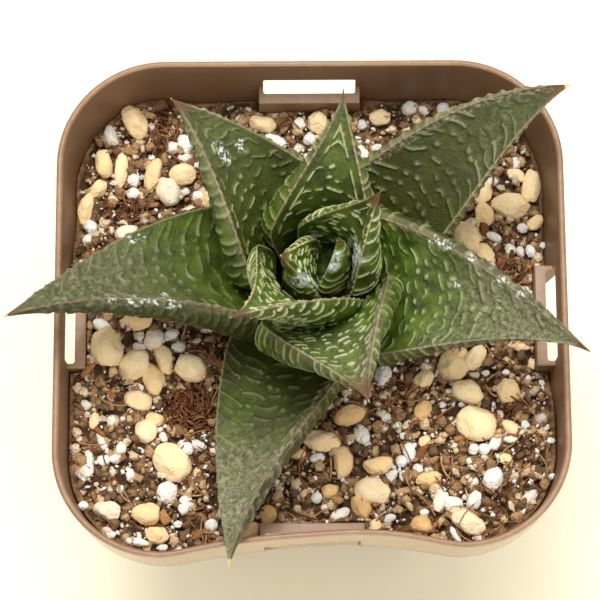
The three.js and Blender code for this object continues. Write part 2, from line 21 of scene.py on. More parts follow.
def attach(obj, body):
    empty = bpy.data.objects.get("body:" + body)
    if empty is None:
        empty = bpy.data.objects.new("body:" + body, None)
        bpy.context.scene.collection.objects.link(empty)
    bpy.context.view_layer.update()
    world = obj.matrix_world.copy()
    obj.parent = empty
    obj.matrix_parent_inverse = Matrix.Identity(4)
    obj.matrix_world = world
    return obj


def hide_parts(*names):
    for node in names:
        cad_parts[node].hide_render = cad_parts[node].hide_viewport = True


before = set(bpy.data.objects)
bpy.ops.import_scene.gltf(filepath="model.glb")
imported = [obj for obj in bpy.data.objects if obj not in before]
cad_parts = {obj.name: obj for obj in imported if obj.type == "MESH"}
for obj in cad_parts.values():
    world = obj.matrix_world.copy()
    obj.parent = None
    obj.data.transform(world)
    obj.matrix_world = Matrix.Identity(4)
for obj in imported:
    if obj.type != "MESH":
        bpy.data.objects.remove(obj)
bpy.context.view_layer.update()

log = logging.getLogger("haworthia")

MM = 0.001                   # metres in a millimetre
MERGE = 1e-4                 # points closer than this are one point, in millimetres
GRAIN_CLEARANCE = 0.12       # distance of the loose grains from the wall, in millimetres
BODY = "root"                # the one body of a part without joints

Colour = tuple[float, float, float, float]
BMesh = bmesh.types.BMesh
Socket = bpy.types.NodeSocket

GREY: Colour = (0.5, 0.5, 0.5, 1.0)
TURN = 6.28                  # a whole turn, in radians


class Slot(Enum):
    """Material slots of the record."""

    POT = "pot"
    SOIL = "soil"
    STEM = "stem"
    LEAF = "leaf"
    PEBBLE = "pebble"
    PERLITE = "perlite"
    BARK = "bark"


# Numbers and meshes


def paint(red: int, green: int, blue: int) -> Colour:
    """A colour as it is seen, from 0 to 255 a channel, in the linear values of a shader.

    Args:
        red, green, blue: The channels.

    Returns:
        The linear colour with full alpha.
    """
    linear = [(c / 255 / 12.92) if c <= 10 else ((c / 255 + 0.055) / 1.055) ** 2.4
              for c in (red, green, blue)]
    return (*linear, 1.0)


def ease(value: np.ndarray | float, low: float, high: float) -> np.ndarray | float:
    """Rises smoothly from 0 at low to 1 at high.

    Args:
        value: One number or an array of them.
        low: Where the rise begins.
        high: Where it ends.

    Returns:
        The eased share, in the shape of value.
    """
    share = np.clip((value - low) / (high - low), 0.0, 1.0)
    return share * share * (3 - 2 * share)


def lerp(first: float, last: float, share: np.ndarray | float) -> np.ndarray | float:
    """The value at a share of the way from first to last."""
    return first + (last - first) * share


def noise_over(points: np.ndarray, grain: float, shift: float = 0.0) -> np.ndarray:
    """Smooth noise between about -1 and 1 at each of many points.

    Args:
        points: Points in an array whose last axis is x, y, z.
        grain: Size of the noise's features, in the points' unit.
        shift: Moves the pattern, so that two uses differ.

    Returns:
        One value for each point.
    """
    offset = Vector((shift, -0.7 * shift, 0.4 * shift))
    flat = (points / grain).reshape(-1, 3).tolist()
    values = [noise.noise(Vector(point) + offset) for point in flat]
    return np.array(values).reshape(points.shape[:-1])


def net(points: np.ndarray, fields: dict[str, np.ndarray] | None = None) -> BMesh:
    """A sheet of quads laid on rows and columns of points, merged where its sides meet.

    Args:
        points: Rows by columns by x, y, z.
        fields: Values to keep on the points, by attribute name.

    Returns:
        The sheet as a bmesh.
    """
    rows, columns = points.shape[:2]
    bm = bmesh.new()
    layers = {name: bm.verts.layers.float.new(name) for name in fields or {}}
    bmesh.ops.create_grid(bm, x_segments=columns - 1, y_segments=rows - 1, size=1)
    for vert in bm.verts:
        column = round((vert.co.x + 1) / 2 * (columns - 1))
        row = round((vert.co.y + 1) / 2 * (rows - 1))
        vert.co = points[row, column]
        for name, layer in layers.items():
            vert[layer] = fields[name][row, column]
    bmesh.ops.remove_doubles(bm, verts=bm.verts, dist=MERGE)
    return bm


def close_up(bm: BMesh) -> None:
    """Fills the open ends of a mesh and turns its faces outwards.

    Args:
        bm: The mesh, which changes.
    """
    open_edges = [edge for edge in bm.edges if edge.is_boundary]
    if open_edges:
        bmesh.ops.holes_fill(bm, edges=open_edges, sides=0)
    bmesh.ops.recalc_face_normals(bm, faces=bm.faces)


def to_object(name: str, bm: BMesh) -> bpy.types.Object:
    """Turns a bmesh in millimetres into a smooth-shaded object in metres.

    Args:
        name: Name of the object.
        bm: The shape, which is freed.

    Returns:
        The object, linked to the scene and standing at the origin.
    """
    bmesh.ops.scale(bm, vec=(MM, MM, MM), verts=bm.verts)
    for face in bm.faces:
        face.smooth = True
    mesh = bpy.data.meshes.new(name)
    bm.to_mesh(mesh)
    bm.free()
    obj = bpy.data.objects.new(name, mesh)
    bpy.context.scene.collection.objects.link(obj)
    return obj


def place(obj: bpy.types.Object, material: bpy.types.Material, slot: Slot,
          nodes: Sequence[str] = ()) -> bpy.types.Object:
    """Gives a piece its finish and its body, hides the CAD nodes that it replaces, and reports it
    with its slot.

    Args:
        obj: The piece.
        material: Its finish.
        slot: The record's slot that the finish stands for.
        nodes: CAD nodes that the piece replaces.

    Returns:
        The same piece.
    """
    obj.data.materials.clear()
    obj.data.materials.append(material)
    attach(obj, BODY)
    if nodes:
        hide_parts(*nodes)
    triangles = sum(len(face.vertices) - 2 for face in obj.data.polygons)
    log.info("%s: %d triangles, slot %s", obj.name, triangles, slot.value)
    return obj


def lay(bm: BMesh, spot: tuple[float, float], turn: float, tip: float, axis: str,
        height: float) -> None:
    """Lays a grain that stands at the origin on its place.

    Args:
        bm: The grain.
        spot: Its x and y.
        turn: How far it is turned, in radians.
        tip: How far it is tipped before that, in radians.
        axis: The axis that it is tipped about.
        height: Height of its middle.
    """
    turned = Matrix.Rotation(turn, 4, "Z") @ Matrix.Rotation(tip, 4, axis)
    bmesh.ops.transform(bm, matrix=Matrix.Translation((*spot, height)) @ turned, verts=bm.verts)


def combine(target: bpy.types.Object, tool: bpy.types.Object, operation: str) -> None:
    """Joins or cuts one object with another, and removes the other.

    Args:
        target: The object that changes.
        tool: The object that it is joined or cut with.
        operation: UNION or DIFFERENCE.
    """
    modifier = target.modifiers.new("combine", "BOOLEAN")
    modifier.operation = operation
    modifier.solver = "MANIFOLD"
    modifier.object = tool
    graph = bpy.context.evaluated_depsgraph_get()
    mesh = bpy.data.meshes.new_from_object(target.evaluated_get(graph))
    target.modifiers.clear()
    old = target.data
    target.data = mesh
    bpy.data.meshes.remove(old)
    bpy.data.meshes.remove(tool.data)


def heap_up(name: str, lumps: Iterable[tuple[BMesh, float]], pot: "Pot") -> bpy.types.Object:
    """Gathers many small lumps into one object, with their tints in its attribute tint.

    Args:
        name: Name of the object.
        lumps: Each lump where it lies, in millimetres, and its tint from 0 to 1. It is freed.
        pot: The pot, back inside which whatever would stand in its wall is pushed.

    Returns:
        The heap.
    """
    bm = bmesh.new()
    tints = []
    for lump, tint in lumps:
        for vert in lump.verts:
            vert.co = pot.hold_inside(vert.co, GRAIN_CLEARANCE)
        mesh = bpy.data.meshes.new("lump")
        lump.to_mesh(mesh)
        lump.free()
        bm.from_mesh(mesh)
        tints += [tint] * len(mesh.vertices)
        bpy.data.meshes.remove(mesh)
    heap = to_object(name, bm)
    heap.data.attributes.new("tint", "FLOAT", "POINT").data.foreach_set("value", tints)
    return heap


# Node trees


class Tree:
    """Adds nodes to a node tree, with their values and links given by socket name."""

    def __init__(self, tree: bpy.types.NodeTree) -> None:
        """Keeps the tree.

        Args:
            tree: The node tree of a material or of a group.
        """
        self.tree = tree

    def feed(self, node: bpy.types.Node, inputs: dict[str | int, object]) -> None:
        """Sets a node's inputs to values, or links them from sockets.

        Args:
            node: The node.
            inputs: A value or a socket to link from, by the input's name or index.
        """
        for key, value in inputs.items():
            if isinstance(value, Socket):
                self.tree.links.new(value, node.inputs[key])
            else:
                node.inputs[key].default_value = value

    def add(self, kind: str, inputs: dict[str | int, object] | None = None,
            **settings: object) -> bpy.types.Node:
        """Adds a node.

        Args:
            kind: Type of the node.
            inputs: A value or a socket to link from, by the input's name or index.
            **settings: Properties of the node.

        Returns:
            The node.
        """
        node = self.tree.nodes.new(kind)
        for name, value in settings.items():
            setattr(node, name, value)
        self.feed(node, inputs or {})
        return node

    def effect(self, group: bpy.types.NodeTree, **inputs: object) -> Socket:
        """The output of a shared group, with its inputs fed by their names."""
        return self.add("ShaderNodeGroup", inputs, node_tree=group).outputs[0]

    def attribute(self, name: str) -> Socket:
        """The value of a point attribute of the piece."""
        return self.add("ShaderNodeAttribute", attribute_name=name).outputs["Fac"]

    def place_of(self) -> Socket:
        """The object coordinates, in metres."""
        return self.add("ShaderNodeTexCoord").outputs["Object"]

    def math(self, operation: str, first: object, second: object) -> Socket:
        """The result of one sum on two values or sockets."""
        node = self.add("ShaderNodeMath", {0: first, 1: second}, operation=operation)
        return node.outputs[0]

    def facing(self, axis: str) -> Socket:
        """How far the surface faces along an axis of the piece, from -1 to 1."""
        normal = self.add("ShaderNodeNewGeometry").outputs["Normal"]
        return self.add("ShaderNodeSeparateXYZ", {0: normal}).outputs[axis]

    def blend(self, share: object, first: object, second: object) -> Socket:
        """A colour between two others, by the share of the second."""
        node = self.add("ShaderNodeMix", {0: share, 6: first, 7: second}, data_type="RGBA")
        return node.outputs[2]

    def ramp(self, share: Socket, stops: Sequence[tuple[float, Colour]]) -> Socket:
        """A colour from a scale of colours.

        Args:
            share: Where on the scale, from 0 to 1.
            stops: The scale's colours and their places, in order.

        Returns:
            The colour.
        """
        node = self.add("ShaderNodeValToRGB", {0: share})
        elements = node.color_ramp.elements
        while len(elements) < len(stops):
            elements.new(1.0)
        for element, (position, colour) in zip(elements, stops):
            element.position = position
            element.color = colour
        return node.outputs["Color"]

    def rescale(self, value: Socket, low: float, high: float, first: float = 0.0,
                last: float = 1.0) -> Socket:
        """A value carried from one range to another, smoothly and held inside it.

        Args:
            value: The value.
            low, high: The range that it comes from.
            first, last: The range that it goes to.

        Returns:
            The value in its new range.
        """
        node = self.add(
            "ShaderNodeMapRange",
            {"Value": value, "From Min": low, "From Max": high, "To Min": first, "To Max": last},
            interpolation_type="SMOOTHSTEP",
        )
        return node.outputs["Result"]

    def noise(self, scale: object, detail: float = 2.0, roughness: float = 0.5) -> Socket:
        """Noise from 0 to 1 on object coordinates.

        Args:
            scale: One over the size of its features in metres.
            detail: How many finer layers it has.
            roughness: How strong those are.

        Returns:
            The noise.
        """
        inputs = {"Vector": self.place_of(), "Scale": scale, "Detail": detail,
                  "Roughness": roughness}
        return self.add("ShaderNodeTexNoise", inputs).outputs["Fac"]


def new_group(name: str, output: str,
              inputs: dict[str, object]) -> tuple[bpy.types.NodeTree, Tree, dict, Socket]:
    """Starts a shader node group with one output.

    Args:
        name: Name of the group.
        output: Name of its output: Color for a colour, or else that of a value.
        inputs: Default value of each input by its name, a colour or a number.

    Returns:
        The group, a helper that adds nodes to it, its input sockets and its output socket.
    """
    group = bpy.data.node_groups.new(name, "ShaderNodeTree")
    for label, value in inputs.items():
        kind = "NodeSocketColor" if isinstance(value, tuple) else "NodeSocketFloat"
        socket = group.interface.new_socket(name=label, in_out="INPUT", socket_type=kind)
        socket.default_value = value
    kind = "NodeSocketColor" if output == "Color" else "NodeSocketFloat"
    group.interface.new_socket(name=output, in_out="OUTPUT", socket_type=kind)
    tree = Tree(group)
    taken = tree.add("NodeGroupInput").outputs
    given = tree.add("NodeGroupOutput").inputs
    return group, tree, taken, given[output]


def mottle_group() -> bpy.types.NodeTree:
    """Builds the group that clouds the colour Base with the colour Cloud.

    Returns:
        The group.
    """
    group, tree, taken, given = new_group(
        "mottle", "Color", {"Base": GREY, "Cloud": GREY, "Scale": 500.0, "Amount": 1.0})
    clouds = tree.noise(taken["Scale"], 5.0, 0.6)
    mask = tree.math("MULTIPLY", tree.rescale(clouds, 0.35, 0.65), taken["Amount"])
    group.links.new(tree.blend(mask, taken["Base"], taken["Cloud"]), given)
    return group


def pores_group() -> bpy.types.NodeTree:
    """Builds the group that pits a surface as porous grit or a leaf's skin is.

    Returns:
        The group.
    """
    group, tree, taken, given = new_group("pores", "Height", {"Scale": 1500.0})
    cells = tree.add("ShaderNodeTexVoronoi", {
        "Vector": tree.place_of(), "Scale": taken["Scale"],
    }).outputs["Distance"]
    fine = tree.noise(taken["Scale"], 4.0)
    group.links.new(tree.math("ADD", tree.rescale(cells, 0.1, 0.5), fine), given)
    return group


def dust_group() -> bpy.types.NodeTree:
    """Builds the group that lays pale Dust over Base on the faces that look up.

    Returns:
        The group.
    """
    group, tree, taken, given = new_group(
        "dust", "Color", {"Base": GREY, "Dust": GREY, "Scale": 300.0, "Amount": 0.3})
    specks = tree.rescale(tree.noise(taken["Scale"], 6.0, 0.7), 0.4, 0.7)
    lying = tree.math("MULTIPLY", tree.rescale(tree.facing("Z"), 0.0, 0.9), specks)
    mask = tree.math("MULTIPLY", lying, taken["Amount"])
    group.links.new(tree.blend(mask, taken["Base"], taken["Dust"]), given)
    return group


class Effects:
    """The node groups that several finishes share."""

    def __init__(self) -> None:
        """Builds each group once."""
        self.mottle = mottle_group()
        self.pores = pores_group()
        self.dust = dust_group()


def new_material(name: str) -> tuple[bpy.types.Material, Tree, bpy.types.Node]:
    """Starts a material.

    Args:
        name: Name of the material.

    Returns:
        The material, a helper that adds nodes to it, and its Principled shader.
    """
    material = bpy.data.materials.new(name)
    material.use_nodes = True
    material.node_tree.nodes.clear()
    tree = Tree(material.node_tree)
    shader = tree.add("ShaderNodeBsdfPrincipled")
    tree.add("ShaderNodeOutputMaterial", {"Surface": shader.outputs[0]})
    return material, tree, shader


def bump(tree: Tree, height: Socket, distance: float) -> Socket:
    """A normal bent by a height of about 0 to 1, where 1 stands out by a distance in mm."""
    inputs = {"Height": height, "Distance": distance * MM, "Strength": 1.0}
    return tree.add("ShaderNodeBump", inputs).outputs[0]


# Finishes


@dataclass(frozen=True)
class Plastic:
    """Thin brown moulded plastic, dusty along its rim, the outside of its near wall paled by a
    painted reflection of the floor.
    """

    effects: Effects
    base: Colour = paint(140, 106, 78)
    shade: Colour = paint(121, 88, 61)
    # pale dust, whose colour also serves the painted reflection on the near wall
    dust: Colour = paint(214, 194, 162)
    dust_amount: float = 0.11
    roughness: float = 0.46
    polish: float = 0.24         # roughness of the outside of the near wall
    painted_reflection_amount: float = 0.55          # how far that is paled towards the dust colour, as a painted reflection

    def material(self) -> bpy.types.Material:
        """Builds the material.

        Returns:
            The material.
        """
        material, tree, shader = new_material("pot_plastic")
        clouded = tree.effect(self.effects.mottle, Base=self.base, Cloud=self.shade,
                              Scale=60.0, Amount=0.5)
        dusted = tree.effect(self.effects.dust, Base=clouded, Dust=self.dust,
                             Scale=700.0, Amount=self.dust_amount)
        normal = tree.add("ShaderNodeNewGeometry").outputs["Normal"]
        outwards = tree.add("ShaderNodeVectorMath", {0: normal, 1: tree.place_of()},
                            operation="DOT_PRODUCT").outputs["Value"]
        outer = tree.math("MULTIPLY", tree.rescale(outwards, 0.018, 0.03),
                          tree.rescale(tree.facing("Y"), -0.9, -0.3, 1.0, 0.0))
        # painted reflection: only the outside faces that look towards the viewer are paled towards
        # the dust colour, standing in for the bright floor seen at a grazing angle
        painted_reflection = tree.math("MULTIPLY", outer, self.painted_reflection_amount)
        tree.feed(shader, {
            "Base Color": tree.blend(painted_reflection, dusted, self.dust),
            "Roughness": tree.rescale(outer, 0.0, 1.0, self.roughness, self.polish),
            "Normal": bump(tree, tree.noise(1600.0, 3.0), 0.03),
        })
        return material


@dataclass(frozen=True)
class Grit:
    """Matte mineral grit, whose lumps differ in tint."""

    effects: Effects
    name: str
    tints: tuple[tuple[float, Colour], ...]
    stain: Colour
    stain_amount: float
    stain_scale: float
    pore_scale: float
    pore_depth: float
    roughness: float = 0.9

    def material(self) -> bpy.types.Material:
        """Builds the material.

        Returns:
            The material.
        """
        material, tree, shader = new_material(self.name)
        own = tree.ramp(tree.attribute("tint"), self.tints)
        pores = tree.effect(self.effects.pores, Scale=self.pore_scale)
        tree.feed(shader, {
            "Base Color": tree.effect(self.effects.mottle, Base=own, Cloud=self.stain,
                                      Scale=self.stain_scale, Amount=self.stain_amount),
            "Roughness": self.roughness,
            "Specular IOR Level": 0.25,
            "Normal": bump(tree, pores, self.pore_depth),
        })
        return material


@dataclass(frozen=True)
class Peat:
    """Dark crumbly potting mix between the pebbles, with painted shade darkening it where the
    ground lies low.
    """

    effects: Effects
    hollow_shade: Colour = paint(78, 56, 39)
    crumb: Colour = paint(146, 108, 74)
    fibre: Colour = paint(200, 160, 114)
    roughness: float = 0.95

    def material(self) -> bpy.types.Material:
        """Builds the material.

        Returns:
            The material.
        """
        material, tree, shader = new_material("soil_peat")
        grains = tree.noise(900.0, 6.0, 0.7)
        clouded = tree.effect(self.effects.mottle, Base=self.crumb, Cloud=self.fibre,
                              Scale=420.0, Amount=0.7)
        # painted shade: the low places of the ground blend towards the dark hollow colour
        depth = tree.rescale(tree.math("ADD", tree.attribute("rise"), grains), 0.75, 1.3)
        tree.feed(shader, {
            "Base Color": tree.blend(depth, self.hollow_shade, clouded),
            "Roughness": self.roughness,
            "Specular IOR Level": 0.2,
            "Normal": bump(tree, grains, 0.5),
        })
        return material


@dataclass(frozen=True)
class Flesh:
    """Waxy leaf skin with pale raised bands, a horny margin and a dry tip, darkened by painted
    shade and spotted with chalky lime and painted glints.
    """

    effects: Effects
    deep: Colour = paint(40, 56, 8)
    light: Colour = paint(92, 114, 32)
    worn: Colour = paint(68, 68, 42)
    worn_light: Colour = paint(148, 146, 118)
    # painted shade: olive darkening for leaf roots, shaded leaves and the backs of worn leaves
    painted_shade: Colour = paint(47, 50, 10)
    band: Colour = paint(194, 200, 148)
    band_worn: Colour = paint(154, 156, 122)
    margin: Colour = paint(194, 178, 138)
    margin_worn: Colour = paint(116, 96, 83)
    tip: Colour = paint(98, 70, 46)
    dry: Colour = paint(214, 176, 126)
    # white of chalky lime, also used for painted glints
    chalk_and_glint: Colour = paint(226, 234, 230)
    roughness: float = 0.32
    worn_roughness: float = 0.42

    def material(self) -> bpy.types.Material:
        """Builds the material.

        Returns:
            The material.
        """
        material, tree, shader = new_material("leaf_skin")
        worn = tree.attribute("worn")
        ridge = tree.attribute("ridge")
        clouds = tree.noise(320.0, 4.0, 0.6)
        green = tree.blend(tree.rescale(clouds, 0.3, 0.7), self.deep, self.light)
        dapples = tree.noise(1300.0, 5.0, 0.85)
        grey = tree.blend(tree.rescale(dapples, 0.34, 0.66), self.worn, self.worn_light)
        aged = tree.blend(tree.math("MULTIPLY", worn, 0.9), green, grey)
        # painted shade darkens the skin where the leaf lies in shade
        skin = tree.blend(tree.attribute("painted_shade"), aged, self.painted_shade)
        pale = tree.blend(worn, self.band, self.band_worn)
        banded = tree.blend(tree.rescale(ridge, 0.05, 0.95, 0.0, 0.95), skin, pale)
        horn = tree.blend(worn, self.margin, self.margin_worn)
        edged = tree.blend(tree.attribute("margin"), banded, horn)
        browned = tree.blend(tree.attribute("tip"), edged, self.tip)
        dried = tree.blend(tree.attribute("dry"), browned, self.dry)
        patches = tree.rescale(tree.noise(1900.0, 4.0, 0.7), 0.34, 0.5)
        # white spots: chalky lime on leaf_05 and the heart, painted glints on leaf_03 and leaf_04
        chalk_and_glint = tree.math("MULTIPLY", tree.attribute("chalk_and_glint"), patches)
        whitened = tree.blend(chalk_and_glint, dried, self.chalk_and_glint)
        pores = tree.effect(self.effects.pores, Scale=3200.0)
        tree.feed(shader, {
            "Base Color": tree.effect(self.effects.dust, Base=whitened, Dust=self.worn_light,
                                      Scale=2600.0, Amount=0.05),
            "Roughness": tree.rescale(worn, 0.0, 1.0, self.roughness, self.worn_roughness),
            "Specular IOR Level": 0.26,
            "Subsurface Weight": 0.08,
            "Subsurface Radius": (0.6, 1.0, 0.3),
            "Subsurface Scale": 0.0012,
            "Normal": bump(tree, pores, 0.045),
        })
        return material


# The pot


@dataclass
class Pot:
    """The square nursery pot: one thin moulding with a slotted ledge in each wall."""

    width: float = 75.0
    height: float = 65.0
    wall: float = 1.0
    floor: float = 1.6
    corner: float = 16.0
    band: float = 10.5           # height of the steeper band under the rim
    band_taper: float = 0.05
    taper: float = 0.225
    bow: float = 2.5             # how far the near wall is pressed in at the rim
    bow_at_foot: float = 0.5
    bow_powers: tuple[float, float] = (2.5, 1.5)
    skew: float = 1.2            # how much further its right half is pressed in
    skew_across: tuple[float, float] = (-8.0, 16.0)
    skew_reach: float = 30.0
    arc_steps: int = 18
    side_steps: int = 34
    wall_steps: int = 12
    band_steps: int = 4
    rim_steps: int = 4
    rim_round: float = 0.42
    foot_round: float = 0.7
    sharp_angle: float = 32.0    # degrees past which an edge is shaded sharp
    floor_steps: int = 5
    window_drop: float = 5.4     # from the rim down to the windows
    window_width: float = 14.0
    window_height: float = 2.6
    window_round: float = 1.0
    ledge_face: float = 2.5      # outer face of the set-in stretch, in from the rim's face
    ledge_back: float = 4.1      # its inner face
    ledge_side: float = 0.7      # thickness at its two ends
    rib_drop: float = 15.0       # how far down the rib stands clear of the wall
    rib_round: float = 0.2
    recess_drop: float = 12.0
    recess_round: float = 0.4
    drain_radius: float = 3.6
    drain_offset: float = 13.0

    def lean_in(self, depth: float) -> float:
        """How far the outer face lies in from the rim's, at a depth below the rim."""
        return self.band_taper * min(depth, self.band) + self.taper * max(0.0, depth - self.band)

    def half_width(self, z: float) -> float:
        """Half the pot's outer width at a height."""
        return self.width / 2 - self.lean_in(self.height - z)

    def press_at(self, z: float) -> float:
        """How much of the near wall's bow there is at a height, up to 1 at the rim."""
        return lerp(self.bow_at_foot, 1.0, z / self.height)

    def bow_at(self, z: float) -> float:
        """How far the middle of the near wall is pressed in at a height."""
        return self.bow * self.press_at(z)

    def skew_at(self, x: float, y: float, z: float) -> float:
        """How far a point of the near right part is pressed in besides."""
        across = float(ease(x, *self.skew_across))
        return self.skew * self.press_at(z) * across * float(ease(-y, 0.0, self.skew_reach))

    def bow_shape(self, share: float) -> float:
        """The bow across the near wall: 1 in the middle, 0 at the corners."""
        flat, runout = self.bow_powers
        return (1 - min(1.0, abs(share)) ** flat) ** runout

    def straight(self, z: float) -> float:
        """Half the length of the straight part of a wall at a height."""
        outer = self.half_width(z)
        return outer - self.corner * outer / (self.width / 2)

    def ring(self, z: float, inset: float, spread: float = 1.0) -> list[tuple[float, float, float]]:
        """One level of the wall.

        Args:
            z: Its height.
            inset: Distance in from the outer face.
            spread: Share of the full size, below 1 for the rings of the floor.

        Returns:
            Points anticlockwise round the pot, the first one repeated at the end.
        """
        straight = self.straight(z)
        radius = self.half_width(z) - straight - inset
        points = []
        for corner, (side_x, side_y) in enumerate([(1, -1), (1, 1), (-1, 1), (-1, -1)]):
            start = 90 * (corner - 1)
            for step in range(self.arc_steps):
                angle = math.radians(start + 90 * step / self.arc_steps)
                points.append((side_x * straight + radius * math.cos(angle),
                               side_y * straight + radius * math.sin(angle)))
            heading = math.radians(start + 90)
            first = Vector((side_x, side_y)) * straight
            first += Vector((math.cos(heading), math.sin(heading))) * radius
            along = Vector((-math.sin(heading), math.cos(heading))) * 2 * straight
            for step in range(self.side_steps):
                x, y = first + along * (step / self.side_steps)
                if corner == 3:
                    y += self.bow_at(z) * self.bow_shape(x / straight)
                points.append((x, y))
        points.append(points[0])
        return [(x * spread, (y + self.skew_at(x, y, z)) * spread, z) for x, y in points]

    def hold_inside(self, point: Vector, clearance: float) -> Vector:
        """Brings a point back inside the walls and clear of the ledges.

        Args:
            point: A point above the floor.
            clearance: Distance that is kept from the inner faces.

        Returns:
            The point, moved only if it was outside.
        """
        inset = self.wall + clearance
        straight = self.straight(point.z)
        half = self.half_width(point.z) - inset
        radius = half - straight
        skewed = self.skew_at(point.x, point.y, point.z)
        x, y = point.x, point.y - skewed
        over = Vector((max(0.0, abs(x) - straight), max(0.0, abs(y) - straight)))
        if over.length > radius:
            over *= radius / over.length
            x = math.copysign(straight + over.x, x) if over.x > 0 else x
            y = math.copysign(straight + over.y, y) if over.y > 0 else y
        if y < 0:
            y = max(y, -half + self.bow_at(point.z) * self.bow_shape(x / straight))
        ledge = self.width / 2 - self.ledge_back - clearance
        beside = self.window_width / 2 + self.ledge_side + clearance
        if abs(x) < beside:
            y = max(-ledge + self.bow_at(point.z), min(ledge, y))
        if abs(y) < beside:
            x = max(-ledge, min(ledge, x))
        return Vector((x, y + skewed, point.z))

    def shell(self) -> BMesh:
        """Wraps a sheet round the profile of the moulding.

        Returns:
            The moulding without its ledges and holes.
        """
        rings = [self.ring(0.0, self.foot_round, step / self.floor_steps)
                 for step in range(self.floor_steps)]
        for step in range(self.rim_steps + 1):
            angle = math.pi / 2 * step / self.rim_steps
            rings.append(self.ring(self.foot_round * (1 - math.cos(angle)),
                                   self.foot_round * (1 - math.sin(angle))))
        band = self.height - self.band
        top = self.height - self.rim_round
        levels = [lerp(self.foot_round, band, (step + 1) / self.wall_steps)
                  for step in range(self.wall_steps)]
        levels += [lerp(band, top, step / self.band_steps) for step in range(1, self.band_steps)]
        rings += [self.ring(z, 0.0) for z in levels]
        for step in range(2 * self.rim_steps + 1):
            angle = math.pi * step / (2 * self.rim_steps)
            rings.append(self.ring(top + self.rim_round * math.sin(angle),
                                   self.wall / 2 * (1 - math.cos(angle))))
        rings += [self.ring(z, self.wall) for z in reversed(levels[1:])]
        for step in range(self.floor_steps + 1):
            rings.append(self.ring(self.floor, self.wall, 1 - step / self.floor_steps))
        bm = net(np.array(rings))
        close_up(bm)
        return bm

    def block(self, name: str, width: float, faces: tuple[float, float, float, float],
              depths: tuple[float, float], turn: int, rounding: float) -> bpy.types.Object:
        """A rounded block set into one wall.

        Args:
            name: Name of the object.
            width: Its width along the wall.
            faces: How far in its outer and inner faces lie at the top, then at the foot.
            depths: How far below the rim its top and its foot lie.
            turn: Which wall: quarter turns from the near one.
            rounding: Radius along its upright edges and its long ones.

        Returns:
            The block as an object.
        """
        above, below = depths
        press = self.bow_at(self.height - above) if turn == 0 else 0.0
        bm = bmesh.new()
        bmesh.ops.create_cube(bm, size=2)
        for vert in bm.verts:
            outer, inner = faces[:2] if vert.co.z > 0 else faces[2:]
            inwards = inner if vert.co.y > 0 else outer
            depth = above if vert.co.z > 0 else below
            vert.co = (vert.co.x * width / 2, press + inwards - self.width / 2,
                       self.height - depth)
        bmesh.ops.bevel(bm, geom=bm.edges, offset=rounding, segments=3, profile=0.5,
                        affect="EDGES", material=-1)
        bmesh.ops.rotate(bm, verts=bm.verts, matrix=Matrix.Rotation(turn * math.pi / 2, 3, "Z"))
        return to_object(name, bm)

    def drill(self, x: float, y: float) -> bpy.types.Object:
        """The cutter of one drain hole.

        Args:
            x, y: The middle of the hole.

        Returns:
            The cutter as an object.
        """
        bm = bmesh.new()
        bmesh.ops.create_cone(bm, cap_ends=True, segments=40, radius1=self.drain_radius,
                              radius2=self.drain_radius, depth=4 * self.floor)
        bmesh.ops.translate(bm, verts=bm.verts, vec=(x, y, 0))
        return to_object("drill", bm)

    def build(self, finish: Plastic) -> bpy.types.Object:
        """Shapes the pot and dresses it.

        Args:
            finish: Its plastic.

        Returns:
            The pot.
        """
        pot = to_object("pot_moulding", self.shell())
        sill = self.window_drop + self.window_height
        foot = sill + self.rib_drop
        hidden = self.wall / 2
        rib_faces = (self.lean_in(sill) + hidden, self.ledge_back,
                     self.lean_in(foot) + hidden, self.ledge_back)
        rib_width = self.window_width + 2 * self.ledge_side
        through = self.ledge_back + 2 * self.wall
        for turn in range(4):
            rib = self.block("rib", rib_width, rib_faces, (sill, foot), turn, self.rib_round)
            combine(pot, rib, "UNION")
            for name, inner, bottom, rounding in (
                ("recess", self.ledge_face, sill + self.recess_drop, self.recess_round),
                ("window", through, sill, self.window_round),
            ):
                hole = self.block(name, self.window_width, (-self.bow, inner) * 2,
                                  (self.window_drop, bottom), turn, rounding)
                combine(pot, hole, "DIFFERENCE")
        for x in (-self.drain_offset, self.drain_offset):
            for y in (-self.drain_offset, self.drain_offset):
                combine(pot, self.drill(x, y), "DIFFERENCE")
        pot.data.set_sharp_from_angle(angle=math.radians(self.sharp_angle))
        return place(pot, finish.material(), Slot.POT, ["pot"])


# The soil and what lies in it


class SameDraw:
    """The random numbers that the CAD source draws, in the same order."""

    def __init__(self, seed: int) -> None:
        """Starts the draw from a seed."""
        self.state = seed

    def __call__(self) -> float:
        """The next number between 0 and 1."""
        self.state = (self.state * 48271) % 2147483647
        return self.state / 2147483647


